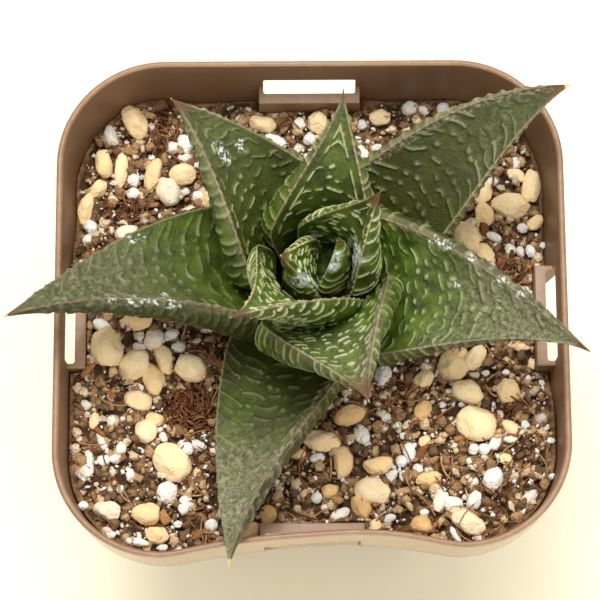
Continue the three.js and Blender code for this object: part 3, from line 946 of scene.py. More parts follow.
# What lies in the surface. Each row is x, y, length, width, and how far the length is
# turned from +X in degrees. First the tan pebbles, from the upper left round to the right.
PEBBLES = [
    (-26.7, 31.7, 5.6, 3.4, 115), (-31.4, 25.2, 4.4, 3, 100), (-28.8, 24.3, 5.8, 2.2, 85),
    (-23.8, 23.5, 5.2, 2.6, 78), (-19.3, 23.3, 4, 3.3, 170), (-21.5, 20.6, 4.8, 3.3, 115),
    (-34, 18.3, 5.2, 2.3, 80), (-32.2, 21.3, 3.2, 2.4, 40), (-27.3, 13.7, 4.2, 3, 170),
    (-18.3, 17.1, 3.4, 2.4, 20), (-15.5, 19.3, 2.8, 2.2, 90), (-26, 0.1, 5, 3, 5),
    (-30.4, -4.5, 6.2, 4.6, 95), (-26.4, -6.7, 5.5, 4, 30), (-23.5, -8.6, 4.8, 3.2, 105),
    (-23.5, -2.6, 3.4, 2.8, 60), (-22, -5.5, 4.6, 2.8, 110), (-18, -7, 5, 3.8, 150),
    (-25.7, -11.9, 4.2, 3.2, 165), (-32.2, -15.2, 2.4, 1.6, 80), (-24.5, -16.4, 3.6, 3.2, 80),
    (-23.3, -14.7, 2.6, 2.2, 0), (-20.7, -21.2, 6, 4.8, 130), (-30.1, -28.6, 4.2, 3, 165),
    (-24.3, -29.1, 4.4, 3.4, 170), (-22.7, -32.2, 3.3, 2.6, 165), (-9, -31.7, 3.2, 2.4, 35),
    (-6.5, -29.2, 3, 2.4, 80), (-2, -20, 2.1, 1.7, 0), (1.5, -18, 5.4, 3.2, 175),
    (4.6, -21.2, 4.6, 2.9, 85), (5.7, -14.2, 4.8, 3, 20), (2.7, -25.5, 2.8, 2.3, 0),
    (10, -21.8, 4.6, 2.9, 3), (8.9, -25.8, 5.2, 4, 170), (7.3, -28.3, 3.8, 2.6, 130),
    (9.2, -31, 2.4, 1.8, 60), (16, -30.9, 3.6, 2.8, 160), (17.2, -24.2, 3.8, 2.2, 15),
    (16.7, -18.6, 2, 1.6, 40), (16.5, -13.9, 3.2, 2.4, 60), (16.8, -8.9, 3.3, 2.6, 35),
    (22.8, -30.9, 5.4, 3.2, 145), (18.9, -27.8, 3.4, 2.2, 70), (28.4, -21.9, 2, 1.7, 150),
    (29.2, -17.1, 2.8, 2, 140), (24.2, -16.4, 6, 5, 165), (23.2, -11.3, 4.9, 3.6, 150),
    (29.3, -11, 3.9, 3.6, 90), (21.2, -7, 5, 4, 140), (24.5, -5.6, 4.4, 2.6, 55),
    (22.4, -4.9, 2.6, 2, 20), (31.2, -4, 2.2, 1.5, 0), (33.6, -6.6, 2.6, 1.8, 170),
    (26, 10.4, 3.6, 3.2, 130), (23.7, 13.3, 5.2, 3.8, 140), (26.3, 16.7, 3.7, 3, 100),
    (26.3, 20.2, 4, 2.6, 70), (30.5, 18.2, 6.2, 3.8, 175), (33.7, 21.3, 5.5, 2.9, 80),
    (31.4, 23.2, 3, 2, 145), (34, 15.5, 2.9, 2, 40), (10.9, 32.5, 3.4, 2.8, 0),
    (1.2, 31.3, 3.4, 3, 100), (-7.2, 31.5, 4, 2.9, 170),
]

# The larger grains of white perlite, in the same order
PERLITE = [
    (-30.3, 29.4, 3.4, 2, 105), (-26.8, 23, 2.6, 1.8, 95), (-26.8, 20.5, 2.2, 2, 0),
    (-21, 27.7, 2, 2, 0), (-19, 28.2, 3.2, 2.4, 100), (-19, 26, 2.4, 1.4, 0),
    (-16.7, 19.7, 2.4, 1.8, 150), (-33.2, 15.2, 2.4, 1.8, 130), (-31.1, -1, 3, 2, 150),
    (-25.7, -4, 2, 1.6, 0), (-21, -1.7, 2.4, 1.6, 20), (-19.8, -3.6, 2.2, 1.6, 170),
    (-26.1, -10, 2.4, 1.6, 0), (-33.5, -12.9, 2, 1.4, 165), (-29.4, -15.1, 2, 1.8, 100),
    (-30.9, -18.4, 3.6, 1.3, 115), (-32.8, -21, 3, 1.4, 100), (-33.3, -23, 2.8, 2, 20),
    (-30.7, -21.2, 2, 1.6, 20), (-29.1, -20.8, 2, 1.5, 0), (-28.2, -19.3, 2, 1.6, 90),
    (-26.8, -23.2, 2, 1.4, 80), (-18.7, -19, 2.6, 2, 130), (-16.8, -18.7, 2.2, 1.6, 150),
    (-21.3, -25.8, 3.6, 3, 60), (-18.7, -27.7, 3.2, 2.2, 75), (-25.7, -33.3, 3.8, 1.3, 170),
    (-14.8, -30.5, 2, 1.8, 0), (0.8, -20.6, 2.4, 1.5, 10), (4.2, -29.2, 3.2, 1.8, 30),
    (7.4, -17.1, 3.3, 2.3, 110), (10.7, -8.3, 3.5, 2.5, 70), (14.4, -20.1, 3, 1.8, 100),
    (13.3, -21.4, 2, 1.8, 0), (11.8, -23.6, 2.2, 1.4, 60), (11.3, -29.8, 2.2, 1.3, 15),
    (27, -19.3, 2.4, 1.8, 60), (29.2, -18.9, 2, 1.1, 10), (26.5, -24.8, 3.4, 3, 60),
    (20.7, -28.2, 3, 2.4, 0), (23.7, -27.8, 3, 2.2, 60), (31.6, -27.7, 3.4, 1.7, 40),
    (31.4, -17, 2, 1.3, 100), (27.8, 13.2, 2.6, 1.4, 155), (33.3, 11, 2, 1.5, 105),
    (31.4, 25, 2, 1.7, 70), (27.8, 22.3, 2.4, 1.6, 30), (20.5, 33.8, 2.2, 2, 0),
    (15.3, 33.9, 2.4, 2.2, 40), (8, 26.7, 3, 1.8, 120), (10.2, 27.5, 2, 1.2, 10),
    (-1.5, 31.2, 2.2, 2, 60), (0, 28.8, 2, 1.8, 0), (-5.3, 28.5, 4, 2.2, 155),
]

# Pebbles that stand out by their tint, from 0 for ochre to 1 for white, by their x and y
PEBBLE_TINTS = {
    (-23.5, -2.6): 0.98, (-30.1, -28.6): 0.95, (-21.5, 20.6): 0.95, (-27.3, 13.7): 0.98,
    (-18.3, 17.1): 0.9, (18.9, -27.8): 1.0, (22.8, -30.9): 0.85, (8.9, -25.8): 0.82,
    (-20.7, -21.2): 0.6, (-6.5, -29.2): 0.0, (2.7, -25.5): 0.05, (7.3, -28.3): 0.0,
    (16.5, -13.9): 0.0, (16, -30.9): 0.0, (16.7, -18.6): 0.3, (5.7, -14.2): 0.05,
    (10, -21.8): 0.25, (17.2, -24.2): 0.1, (4.6, -21.2): 0.15, (29.3, -11): 0.3,
}

# Clumps of coir and of bark fibres in the surface: x, y, length, width, number of fibres
CLUMPS = [
    (-18, -13, 8, 7, 170), (-22, 30, 4.5, 6, 60), (-28, 17.5, 7, 4.5, 60), (30.5, 7.5, 5, 5, 50),
    (26, 25, 4, 4, 30), (-11, -24, 4, 5, 30), (30.7, -14.2, 4, 3, 25), (13, -11, 5, 4, 30),
]

# Smaller white grains, which are too fine for the solids
SMALL_PERLITE = [
    (-33.5, 12.9, 1.8, 1.6, 0), (-22, -17.3, 1.8, 1.2, 110), (0.7, -26.6, 1.8, 1.6, 60),
    (11.1, -14.6, 1.8, 1.4, 150), (15.6, -22.7, 1.6, 1.6, 0), (13.5, -23.6, 1.8, 1.3, 80),
    (23.8, -20.1, 1.6, 1.6, 0), (25.3, -20.2, 1.8, 1.8, 0), (32.2, 4.7, 1.6, 1.4, 0),
    (30.2, 11.2, 1.8, 1.6, 90), (31.7, 11, 1.8, 1.3, 100), (32.2, 14.7, 1.8, 1.5, 0),
    (23.5, 33.9, 1.8, 1.6, 0), (17.6, 33.7, 1.8, 1.7, 0), (8, 31.2, 1.8, 1.7, 0),
    (-14.3, -19.7, 1.4, 1.2, 0), (-23.7, -18.8, 1.3, 1, 40), (-19.8, -30.5, 1.4, 1.1, 0),
    (-33.5, -28.1, 1.6, 1.3, 0), (-29.4, -32.3, 1.6, 1.2, 20), (-22, -34, 1.8, 1.2, 0),
    (-20, -34, 1.6, 1.2, 0), (-5.3, -24.3, 1.2, 1, 0), (-28.2, -25.4, 1.3, 1, 60),
    (2, -28, 1.4, 1, 0), (5.7, -18, 1.5, 1.1, 30), (12.9, -15.8, 1.2, 1, 0),
    (13.7, -17.5, 1.4, 1.1, 0), (12.9, -26, 1.3, 1, 0), (16.5, -29.1, 1.4, 1.2, 0),
    (20.9, -32.7, 3, 1, 120), (35.2, -24.5, 1.4, 1, 0), (34.3, -17.1, 1.4, 1.1, 0),
    (31.7, -8.6, 1.4, 1.1, 0), (29, -7.9, 1.2, 1, 0), (26, -8, 1.2, 1, 0),
    (35.1, -19.1, 1.3, 1, 0), (19.4, -13.1, 1.2, 1, 0), (20.5, -10.9, 1.2, 0.9, 0),
    (23, -21.8, 1.4, 1, 0), (18.9, -26.3, 1.4, 1.1, 0), (9.7, -32.4, 1.4, 1, 0),
    (12.9, -32.4, 1.4, 1.1, 0), (-18.8, 20.7, 1.4, 1.1, 0), (-17, 24.8, 1.5, 1.2, 0),
    (-30, 20, 1.3, 1, 0), (-25.2, 16.2, 1.3, 1.1, 0), (-0.3, 26.2, 1.4, 1.1, 0),
    (7.3, 28.8, 1.6, 1.2, 0), (35.3, 12, 1.3, 1.1, 0),
]

# Where the soil is banked up: how high, at which side (1 is right), and between which distances
# from the middle it rises towards that side and towards the viewer
BANKS = [(4.5, 1, (9.0, 32.0), (7.0, 18.0)), (2.5, -1, (20.0, 36.0), (-18.0, -6.0))]


@dataclass
class Soil:
    """The root ball: its uneven surface, and the pebbles, perlite, crumbs and fibres in it."""

    pot: Pot
    depth: float = 12.0          # from the rim down to the surface
    gap: float = 0.3
    wave: float = 0.6
    broad_wave: tuple[float, float] = (0.21, 0.17)
    fine_wave: tuple[float, float] = (0.43, 0.37)
    seed: int = 20477
    flatness: tuple[float, float] = (0.7, 0.95)
    lift: float = 0.35
    grain_tip: float = 0.2
    cells: int = 220             # quads along each side of the surface
    edge_fade: float = 0.03      # share of it beside the wall in which it grows even
    crumbs: int = 5200
    crumb_sizes: tuple[float, float, float] = (0.35, 1.5, 2.5)    # smallest, spread, power
    specks: int = 1500
    speck_sizes: tuple[float, float, float] = (0.25, 0.95, 2)
    fibres: int = 500
    chips: int = 130
    strand_steps: int = 7
    strand_turns: tuple[float, ...] = (0.0, 1.57, 3.14, 4.71, 0.0)
    facet_count: int = 11
    facet_reach: tuple[float, float] = (0.78, 1.0)
    draws: random.Random = field(default_factory=lambda: random.Random(7))

    def surface(self, x: float, y: float) -> float:
        """The even surface, as in the CAD source.

        Args:
            x, y: A place in millimetres.

        Returns:
            Its height there.
        """
        broad = math.sin(x * self.broad_wave[0] + 1) * math.cos(y * self.broad_wave[1])
        fine = 0.5 * math.sin(x * self.fine_wave[0] - y * self.fine_wave[1])
        bank = sum(height * float(ease(side * x, *across)) * float(ease(-y, *nearer))
                   for height, side, across, nearer in BANKS)
        return self.pot.height - self.depth + self.wave * (broad + fine) + bank

    def edge(self) -> tuple[float, float]:
        """The outline of the even surface.

        Returns:
            Half its width, and the radius of its corners.
        """
        z = self.pot.height - self.depth
        inset = self.pot.wall + self.gap
        half = self.pot.half_width(z) - inset
        return half, half - self.pot.straight(z)

    def fit(self, across: float, along: float) -> tuple[float, float]:
        """Carries a point of a square onto the surface's rounded outline.

        Args:
            across: From -1 to 1 along X.
            along: From -1 to 1 along Y.

        Returns:
            The place in millimetres.
        """
        half, radius = self.edge()
        x, y = across * half, along * half
        reach = max(abs(across), abs(along), 1e-9)
        cx, cy = abs(x) / reach, abs(y) / reach
        straight = half - radius
        over_x, over_y = cx - straight, cy - straight
        shrink = 1.0
        if over_x > 0 and over_y > 0:
            a = cx * cx + cy * cy
            b = -2 * straight * (cx + cy)
            c = 2 * straight * straight - radius * radius
            shrink = (-b + math.sqrt(b * b - 4 * a * c)) / (2 * a)
        scale = lerp(1.0, shrink, reach ** 2)
        x, y = x * scale, y * scale
        z = self.pot.height - self.depth
        if y < 0:
            press = self.pot.bow_at(z) * self.pot.bow_shape(x / self.pot.straight(z))
            y += press * (abs(y) / half) ** 3
        room = self.pot.half_width(self.surface(x, y)) - self.pot.wall - self.gap
        x, y = x * room / half, y * room / half
        ledge = self.pot.width / 2 - self.pot.ledge_back - self.gap
        beside = self.pot.window_width / 2 + self.pot.ledge_side + self.gap
        near = ledge - self.pot.bow_at(z)
        if abs(x) < beside:
            y = max(-near, min(ledge, y))
        if abs(y) < beside:
            x = max(-ledge, min(ledge, x))
        return x, y + self.pot.skew_at(x, y, z)

    def ground(self) -> BMesh:
        """Shapes the surface between the pebbles, with the sides and the foot of the root ball.

        Returns:
            The root ball, closed all round.
        """
        bm = bmesh.new()
        rise = bm.verts.layers.float.new("rise")
        bmesh.ops.create_grid(bm, x_segments=self.cells, y_segments=self.cells, size=1)
        for vert in bm.verts:
            x, y = self.fit(vert.co.x, vert.co.y)
            spot = Vector((x, y, 0))
            lumps = noise.noise(spot / 2.6) * 0.7
            lumps += noise.noise(spot / 1.1 + Vector((9, 4, 2))) * 0.6
            crumbs = noise.cell(spot / 0.7) * 0.3 + noise.noise(spot / 0.45) * 0.35
            inward = 1 - max(abs(vert.co.x), abs(vert.co.y))
            height = (lumps + crumbs - 0.25) * float(ease(inward, 0.0, self.edge_fade))
            vert.co = (x, y, self.surface(x, y) + height)
            vert[rise] = 0.5 + 0.5 * height
        rim = [edge for edge in bm.edges if edge.is_boundary]
        sides = bmesh.ops.extrude_edge_only(bm, edges=rim)["geom"]
        foot = [item for item in sides if isinstance(item, bmesh.types.BMVert)]
        low = self.pot.floor + self.gap
        inset = self.pot.wall + self.gap
        half, _ = self.edge()
        shrink = (self.pot.half_width(low) - inset) / half
        for vert in foot:
            vert.co = (vert.co.x * shrink, vert.co.y * shrink, low)
        close_up(bm)
        return bm

    def facets(self, index: int) -> list[tuple[Vector, float]]:
        """Random planes that flatten the sides of a grain.

        Args:
            index: Makes the planes the grain's own.

        Returns:
            The direction of each plane, and its distance from the middle.
        """
        rng = random.Random(index)
        planes = []
        for _ in range(self.facet_count):
            facing = Vector([rng.gauss(0, 1) for _axis in range(3)]).normalized()
            planes.append((facing, rng.uniform(*self.facet_reach)))
        return planes

    def lump(self, row: Sequence[float], draw: Callable[[], float], index: int,
             subdivisions: int, rough: float, grain: float, faceted: float) -> BMesh:
        """One grain part sunk in the surface, where the CAD source has it.

        Args:
            row: Its x, y, length, width and turn in degrees.
            draw: Random numbers for its height and its tip.
            index: Makes its dents its own.
            subdivisions: Fineness of its mesh.
            rough: How far its skin is pushed in and out, as a share of its width.
            grain: Size of those dents, as a share of its width.
            faceted: How far its sides are flattened, from 0 to 1.

        Returns:
            The grain.
        """
        x, y, length, width, spin = row
        height = width * lerp(*self.flatness, draw())
        tip = self.grain_tip * (2 * draw() - 1)
        bm = bmesh.new()
        bmesh.ops.create_icosphere(bm, subdivisions=subdivisions, radius=1.0)
        own = Vector((13.1 * index, -7.7 * index, 3.3 * index))
        facets = self.facets(index)
        for vert in bm.verts:
            out = vert.co.normalized()
            cut = min(reach / max(out.dot(facing), 0.2) for facing, reach in facets)
            flat = lerp(1.0, min(1.08, cut), faceted)
            middle = noise.noise(out / grain + own)
            fine = noise.noise(out / (0.35 * grain) + own) * 0.35
            vert.co = out * (flat + rough * (middle + fine))
        bmesh.ops.scale(bm, vec=(length / 2, width / 2, height / 2), verts=bm.verts)
        lay(bm, (x, y), math.radians(spin), tip, "Y", self.surface(x, y) + self.lift * height / 2)
        return bm

    def free_spot(self, margin: float) -> tuple[float, float]:
        """A random place on the surface that no pebble covers.

        Args:
            margin: Share of each pebble's size that is kept clear.

        Returns:
            The place in millimetres.
        """
        while True:
            x, y = self.fit(self.draws.uniform(-0.98, 0.98), self.draws.uniform(-0.98, 0.98))
            x0, y0, clump_length, clump_width, _ = CLUMPS[0]
            covered = ((x - x0) / clump_length) ** 2 + ((y - y0) / clump_width) ** 2 < 0.2
            for px, py, length, width, spin in PEBBLES:
                angle = math.radians(spin)
                along = (x - px) * math.cos(angle) + (y - py) * math.sin(angle)
                aside = (y - py) * math.cos(angle) - (x - px) * math.sin(angle)
                if (along / length) ** 2 + (aside / width) ** 2 < (margin / 2) ** 2:
                    covered = True
                    break
            if not covered:
                return x, y

    def crumb(self, size: float, index: int) -> BMesh:
        """A small angular crumb lying on a free spot.

        Args:
            size: Its length in millimetres.
            index: Makes its form its own.

        Returns:
            The crumb.
        """
        x, y = self.free_spot(0.85)
        bm = bmesh.new()
        bmesh.ops.create_icosphere(bm, subdivisions=1 if size < 1.3 else 2, radius=1.0)
        own = Vector((3.7 * index, 1.9 * index, -2.3 * index))
        for vert in bm.verts:
            vert.co *= 1.0 + 0.8 * noise.noise(vert.co * 1.5 + own)
        stretch = self.draws.uniform(0.5, 1.0)
        bmesh.ops.scale(bm, vec=(size / 2, size / 2 * stretch, size * 0.36), verts=bm.verts)
        lay(bm, (x, y), self.draws.uniform(0, TURN), self.draws.uniform(-0.6, 0.6), "X",
            self.surface(x, y) + self.draws.uniform(-0.1, 0.45) * size)
        return bm

    def strand(self, start: Vector, heading: float, length: float, radius: float,
               curl: float) -> BMesh:
        """A thin fibre that lies on the surface in a wandering line.

        Args:
            start: One end.
            heading: Direction in radians.
            length: Its length.
            radius: Its half thickness.
            curl: How far it wanders, in radians.

        Returns:
            The fibre, closed at both ends.
        """
        rings = []
        spot = start.copy()
        bend = self.draws.uniform(-curl, curl)
        wobble = self.draws.uniform(0, TURN)
        steps = self.strand_steps
        for step in range(steps + 1):
            share = step / steps
            angle = heading + bend * share
            ahead = Vector((math.cos(angle), math.sin(angle), 0))
            aside = Vector((-ahead.y, ahead.x, 0))
            thin = radius * (0.0 if step in (0, steps) else 1.0 - 0.4 * share)
            side, above = aside * thin, Vector((0, 0, 1)) * thin
            rings.append([tuple(spot + side * math.cos(turn) + above * math.sin(turn))
                          for turn in self.strand_turns])
            spot = spot + ahead * (length / steps)
            spot.z += 0.25 * math.cos(wobble + 5 * share)
        bm = net(np.array(rings))
        close_up(bm)
        return bm

    def chip(self) -> BMesh:
        """A flat splinter of bark lying on a free spot.

        Returns:
            The splinter.
        """
        x, y = self.free_spot(0.95)
        length = self.draws.uniform(0.9, 3.0)
        width = length * self.draws.uniform(0.25, 0.6)
        bm = bmesh.new()
        bmesh.ops.create_cube(bm, size=1)
        for vert in bm.verts:
            vert.co.x *= 1.0 + self.draws.uniform(-0.2, 0.2)
            vert.co.y *= 1.0 + self.draws.uniform(-0.45, 0.3)
        bmesh.ops.scale(bm, vec=(length, width, width * 0.5), verts=bm.verts)
        bmesh.ops.bevel(bm, geom=bm.edges, offset=0.12 * width, segments=1, profile=0.5,
                        affect="EDGES", material=-1)
        lay(bm, (x, y), self.draws.uniform(0, TURN), self.draws.uniform(-0.4, 0.4), "Y",
            self.surface(x, y) + self.draws.uniform(0.1, 0.5))
        return bm

    def pebbles(self, draw: SameDraw) -> Iterator[tuple[BMesh, float]]:
        """Shapes the pebbles one after another.

        Args:
            draw: The random numbers of the CAD source.

        Yields:
            Each pebble and its tint.
        """
        for index, row in enumerate(PEBBLES):
            tint = PEBBLE_TINTS.get(row[:2], self.draws.uniform(0.2, 0.8))
            pebble = self.lump(row, draw, index, subdivisions=4, rough=0.08, grain=0.5,
                               faceted=0.85)
            yield pebble, tint

    def perlite(self, draw: SameDraw) -> Iterator[tuple[BMesh, float]]:
        """Shapes the larger grains of perlite, then the smaller ones.

        Args:
            draw: The random numbers of the CAD source.

        Yields:
            Each grain and its tint.
        """
        for index, row in enumerate(PERLITE):
            grain = self.lump(row, draw, 100 + index, subdivisions=3, rough=0.2, grain=0.55,
                              faceted=0.5)
            yield grain, self.draws.random()
        for index, row in enumerate(SMALL_PERLITE):
            grain = self.lump(row, self.draws.random, 200 + index, subdivisions=3, rough=0.2,
                              grain=0.6, faceted=0.5)
            yield grain, self.draws.random()

    def strewn(self, count: int, sizes: tuple[float, float, float],
               first: int) -> Iterator[tuple[BMesh, float]]:
        """Strews small angular crumbs on the free spots.

        Args:
            count: Number of them.
            sizes: The smallest, how much larger they get, and the power that keeps them small.
            first: Index of the first one, which makes their forms their own.

        Yields:
            Each crumb and its tint.
        """
        smallest, spread, power = sizes
        for index in range(count):
            size = smallest + spread * self.draws.random() ** power
            yield self.crumb(size, first + index), self.draws.random()

    def bark(self) -> Iterator[tuple[BMesh, float]]:
        """Strews the splinters of bark, then single fibres, then the clumps of fibres.

        Yields:
            Each splinter or fibre and its tint.
        """
        for _ in range(self.chips):
            yield self.chip(), self.draws.random()
        for _ in range(self.fibres):
            x, y = self.free_spot(0.9)
            start = Vector((x, y, self.surface(x, y) + self.draws.uniform(0.3, 0.9)))
            fibre = self.strand(start, self.draws.uniform(0, TURN), self.draws.uniform(1.5, 6),
                                self.draws.uniform(0.08, 0.2), 1.6)
            yield fibre, self.draws.random()
        for middle_x, middle_y, length, width, count in CLUMPS:
            for _ in range(count):
                angle = self.draws.uniform(0, TURN)
                out = math.sqrt(self.draws.random())
                x = middle_x + 0.5 * length * out * math.cos(angle)
                y = middle_y + 0.5 * width * out * math.sin(angle)
                rise = self.draws.uniform(0.2, 0.4 + 0.9 * (1 - out))
                start = Vector((x, y, self.surface(x, y) + rise))
                fibre = self.strand(start, angle + self.draws.uniform(1.0, 2.4),
                                    self.draws.uniform(1.2, 3.2),
                                    self.draws.uniform(0.09, 0.24), 1.8)
                yield fibre, self.draws.uniform(0.0, 0.6)

    def build(self, effects: Effects) -> None:
        """Shapes the soil and everything in it, and dresses them.

        Args:
            effects: The shared node groups.
        """
        tan = Grit(effects, "pebble_stone",
                   tints=((0.0, paint(204, 166, 110)), (0.2, paint(239, 208, 156)),
                          (0.8, paint(247, 227, 186)), (1.0, paint(236, 229, 214))),
                   stain=paint(238, 200, 146), stain_amount=0.4, stain_scale=420.0,
                   pore_scale=1700.0, pore_depth=0.07)
        white = Grit(effects, "perlite_stone",
                     tints=((0.0, paint(218, 213, 204)), (1.0, paint(241, 239, 232))),
                     stain=paint(206, 199, 187), stain_amount=0.35, stain_scale=900.0,
                     pore_scale=1500.0, pore_depth=0.1)
        brown = Grit(effects, "soil_crumbs",
                     tints=((0.0, paint(84, 66, 51)), (0.25, paint(136, 104, 74)),
                            (0.5, paint(182, 144, 102)), (0.72, paint(222, 194, 150)),
                            (1.0, paint(236, 226, 206))),
                     stain=paint(124, 94, 66), stain_amount=0.4, stain_scale=1200.0,
                     pore_scale=2200.0, pore_depth=0.15)
        rusty = Grit(effects, "bark_fibre",
                     tints=((0.0, paint(82, 52, 34)), (0.4, paint(150, 96, 58)),
                            (0.75, paint(180, 130, 84)), (1.0, paint(210, 178, 136))),
                     stain=paint(98, 62, 40), stain_amount=0.4, stain_scale=900.0,
                     pore_scale=2600.0, pore_depth=0.1)
        ground = to_object("soil_ground", self.ground())
        place(ground, Peat(effects).material(), Slot.SOIL, ["soil"])
        draw = SameDraw(self.seed)
        for name, lumps, finish, slot in (
            ("pebbles", self.pebbles(draw), tan, Slot.PEBBLE),
            ("perlite_grains", self.perlite(draw), white, Slot.PERLITE),
            ("perlite_specks", self.strewn(self.specks, self.speck_sizes, 0), white, Slot.PERLITE),
            ("soil_crumbs", self.strewn(self.crumbs, self.crumb_sizes, 1000), brown, Slot.SOIL),
            ("bark_and_fibres", self.bark(), rusty, Slot.BARK),
        ):
            place(heap_up(name, lumps, self.pot), finish.material(), slot)


# The plant


@dataclass(frozen=True)
class Axis:
    """The plant's axis, which leans a little towards the viewer."""

    x: float = 1.2
    y: float = 2.0
    level: float = 10.0
    lean: float = 0.22

    def at(self, level: float) -> tuple[float, float]:
        """Where the axis stands at a level above the rim."""
        return self.x, self.y - self.lean * (level - self.level)


@dataclass(frozen=True)
class LeafShape:
    """One leaf's measures, as in the CAD source.

    facing, inset, root: Direction of the root round the axis, its distance and its level.
    reach, sweep, tip: The tip along that direction, across it, and its level.
    turn, climb: How far the tip has turned, and how steeply the leaf leaves and arrives.
    width, taper, thick: Largest width, slenderness towards the tip, and thickness.
    cup, keel, belly: Hollow of the face at both ends, place of the keel, fullness of the back.
    roll, twist: Tilt about its own length at the root, and gained on the way.
    worn: How grey and rough its outer half has become, from 0 to 1.
    band_step, paleness: Distance between its bands, and how pale they are.
    dashes: Lengths of the dashes beside the margins and of those further in.
    dots: Share of the inner dashes that are mere dots.
    edge_line: How strongly a broken band follows each margin, from 0 to 1.
    brown, dry: How much of its tip is brown, and how much of that is dry, in millimetres.
    gloom: How much painted shade darkens it, from 0 to 1, at its root and towards its tip.
    scurf: How far in from one margin its face is scurfy, in millimetres.
    under: How much painted shade darkens its underside, from 0 to 1.
    """

    node: str
    facing: float
    reach: float
    sweep: float
    root: float
    tip: float
    turn: float
    climb: tuple[float, float]
    inset: float
    width: float
    taper: float
    thick: float
    cup: tuple[float, float]
    keel: float
    belly: float
    roll: float
    twist: float
    worn: float
    band_step: float
    paleness: float
    dashes: tuple[tuple[float, float], tuple[float, float]]
    dots: float
    edge_line: float
    brown: float
    dry: float
    painted_shade: tuple[float, float]
    scurf: float
    underside_shade: float = 0.0


LEAVES = [
    LeafShape("leaf_01", 250, 47.7, 3.4, -9.8, 3.8, 18, (20, 7), 3, 21, 1.33, 5.8, (0.08, 0.16),
              0.45, 0.1, 12, 28, 1.0, 2.0, 0.4,
              ((1.5, 4.0), (1.2, 3.5)), 0.3, 0, 1.5, 1.6, (0.8, 0.0), 1.6),
    LeafShape("leaf_02", 31, 43.6, 1.2, -7, 11.9, -17, (44, 11), 3, 17.5, 1.15, 5, (0.15, 0.12),
              0, 0.45, 15, 10, 0.6, 2.3, 0.55,
              ((1.4, 3.2), (0.4, 1.2)), 0.7, 0, 4.5, 1.2, (0.95, 0.7), 1.2),
    LeafShape("leaf_03", 169, 42.4, 18.7, -6.5, 10.2, 38, (38, 0), 3, 20.5, 1.35, 6, (0.27, 0.1),
              0.55, 0.5, 16, 15, 0.9, 2.3, 0.42,
              ((1.5, 4.0), (0.8, 3.0)), 0.45, 0.2, 2.5, 1.1, (0.4, 0.6), 0.6, 1.0),
    LeafShape("leaf_04", 334, 41.8, 2, -5.6, 12.3, -10, (62, 4), 3, 21.7, 1.54, 5.6, (0.15, 0.15),
              -0.32, 0.52, 26, 22, 0.9, 1.9, 0.6,
              ((0.8, 2.2), (0.6, 2.6)), 0.45, 0.2, 3.6, 0.9, (0.05, 0.0), 0.7),
    LeafShape("leaf_05", 127, 30, 4, -4.5, 14.2, 21, (64, 16), 3, 21, 1.28, 5, (0.25, 0.12),
              0.27, 0.52, 15, 14, 0.45, 2.3, 0.6,
              ((0.8, 2.0), (0.6, 2.0)), 0.4, 0.7, 3.0, 0.4, (0.65, 0.6), 0.5),
    LeafShape("leaf_06", 278, 25.5, 3.2, -4.5, 19.5, 12, (69, 13), 2, 21.5, 1.4, 5.8, (0.25, 0.25),
              -0.3, 0.55, 10, 5, 0.36, 1.6, 0.9,
              ((0.4, 1.5), (0.3, 1.4)), 0.6, 0.4, 4.2, 0.6, (0.0, 0.0), 1.3),
    LeafShape("leaf_07", 90.5, 21.2, -3.7, -2, 21.8, -3, (84, 29), 2, 16.2, 1.68, 5, (0.4, 0.12),
              0.13, 0.65, -3, 0, 0.3, 2.2, 0.85,
              ((0.7, 1.8), (0.5, 2.2)), 0.4, 1, 3.0, 0.4, (0.25, 0.1), 0.3),
    LeafShape("leaf_08", 225, 17.6, -0.3, -1, 21.4, -18, (88, 10), 0.5, 19.5, 1.6, 4.8, (0.6, 0.34),
              -0.1, 0.2, 14, 25, 0.15, 1.6, 1.0,
              ((0.3, 0.8), (0.2, 0.8)), 0.6, 0.6, 3.5, 0.4, (0.0, 0.0), 0),
    LeafShape("leaf_09", 38, 10.2, -0.9, 0, 23.6, 5, (85, 42), 0, 13.3, 1.3, 4.4, (0.65, 0.4),
              -0.5, 0.45, 0, -6, 0.1, 1.6, 1.0,
              ((0.3, 0.8), (0.2, 0.8)), 0.6, 0.6, 3.5, 0.4, (0.0, 0.0), 0),
    LeafShape("leaf_10", 172, 5.4, 1.7, 2.1, 15.5, 2, (86, 40), -0.4, 9, 1, 4.4, (0.1, 0.15),
              0.2, 0.5, 8, 0, 0, 1.5, 1.0,
              ((0.3, 0.8), (0.3, 0.8)), 0.4, 0.6, 1.5, 0.2, (0.0, 0.0), 0),
    LeafShape("leaf_11", 330, 1.4, 2.4, 2.1, 15, 0, (82, 100), 0.8, 6, 1, 2.8, (0.1, 0.1),
              0, 0.4, 0, 0, 0, 1.4, 1.0,
              ((0.3, 0.8), (0.3, 0.8)), 0.4, 0.4, 1.0, 0.2, (0.0, 0.0), 0),
]
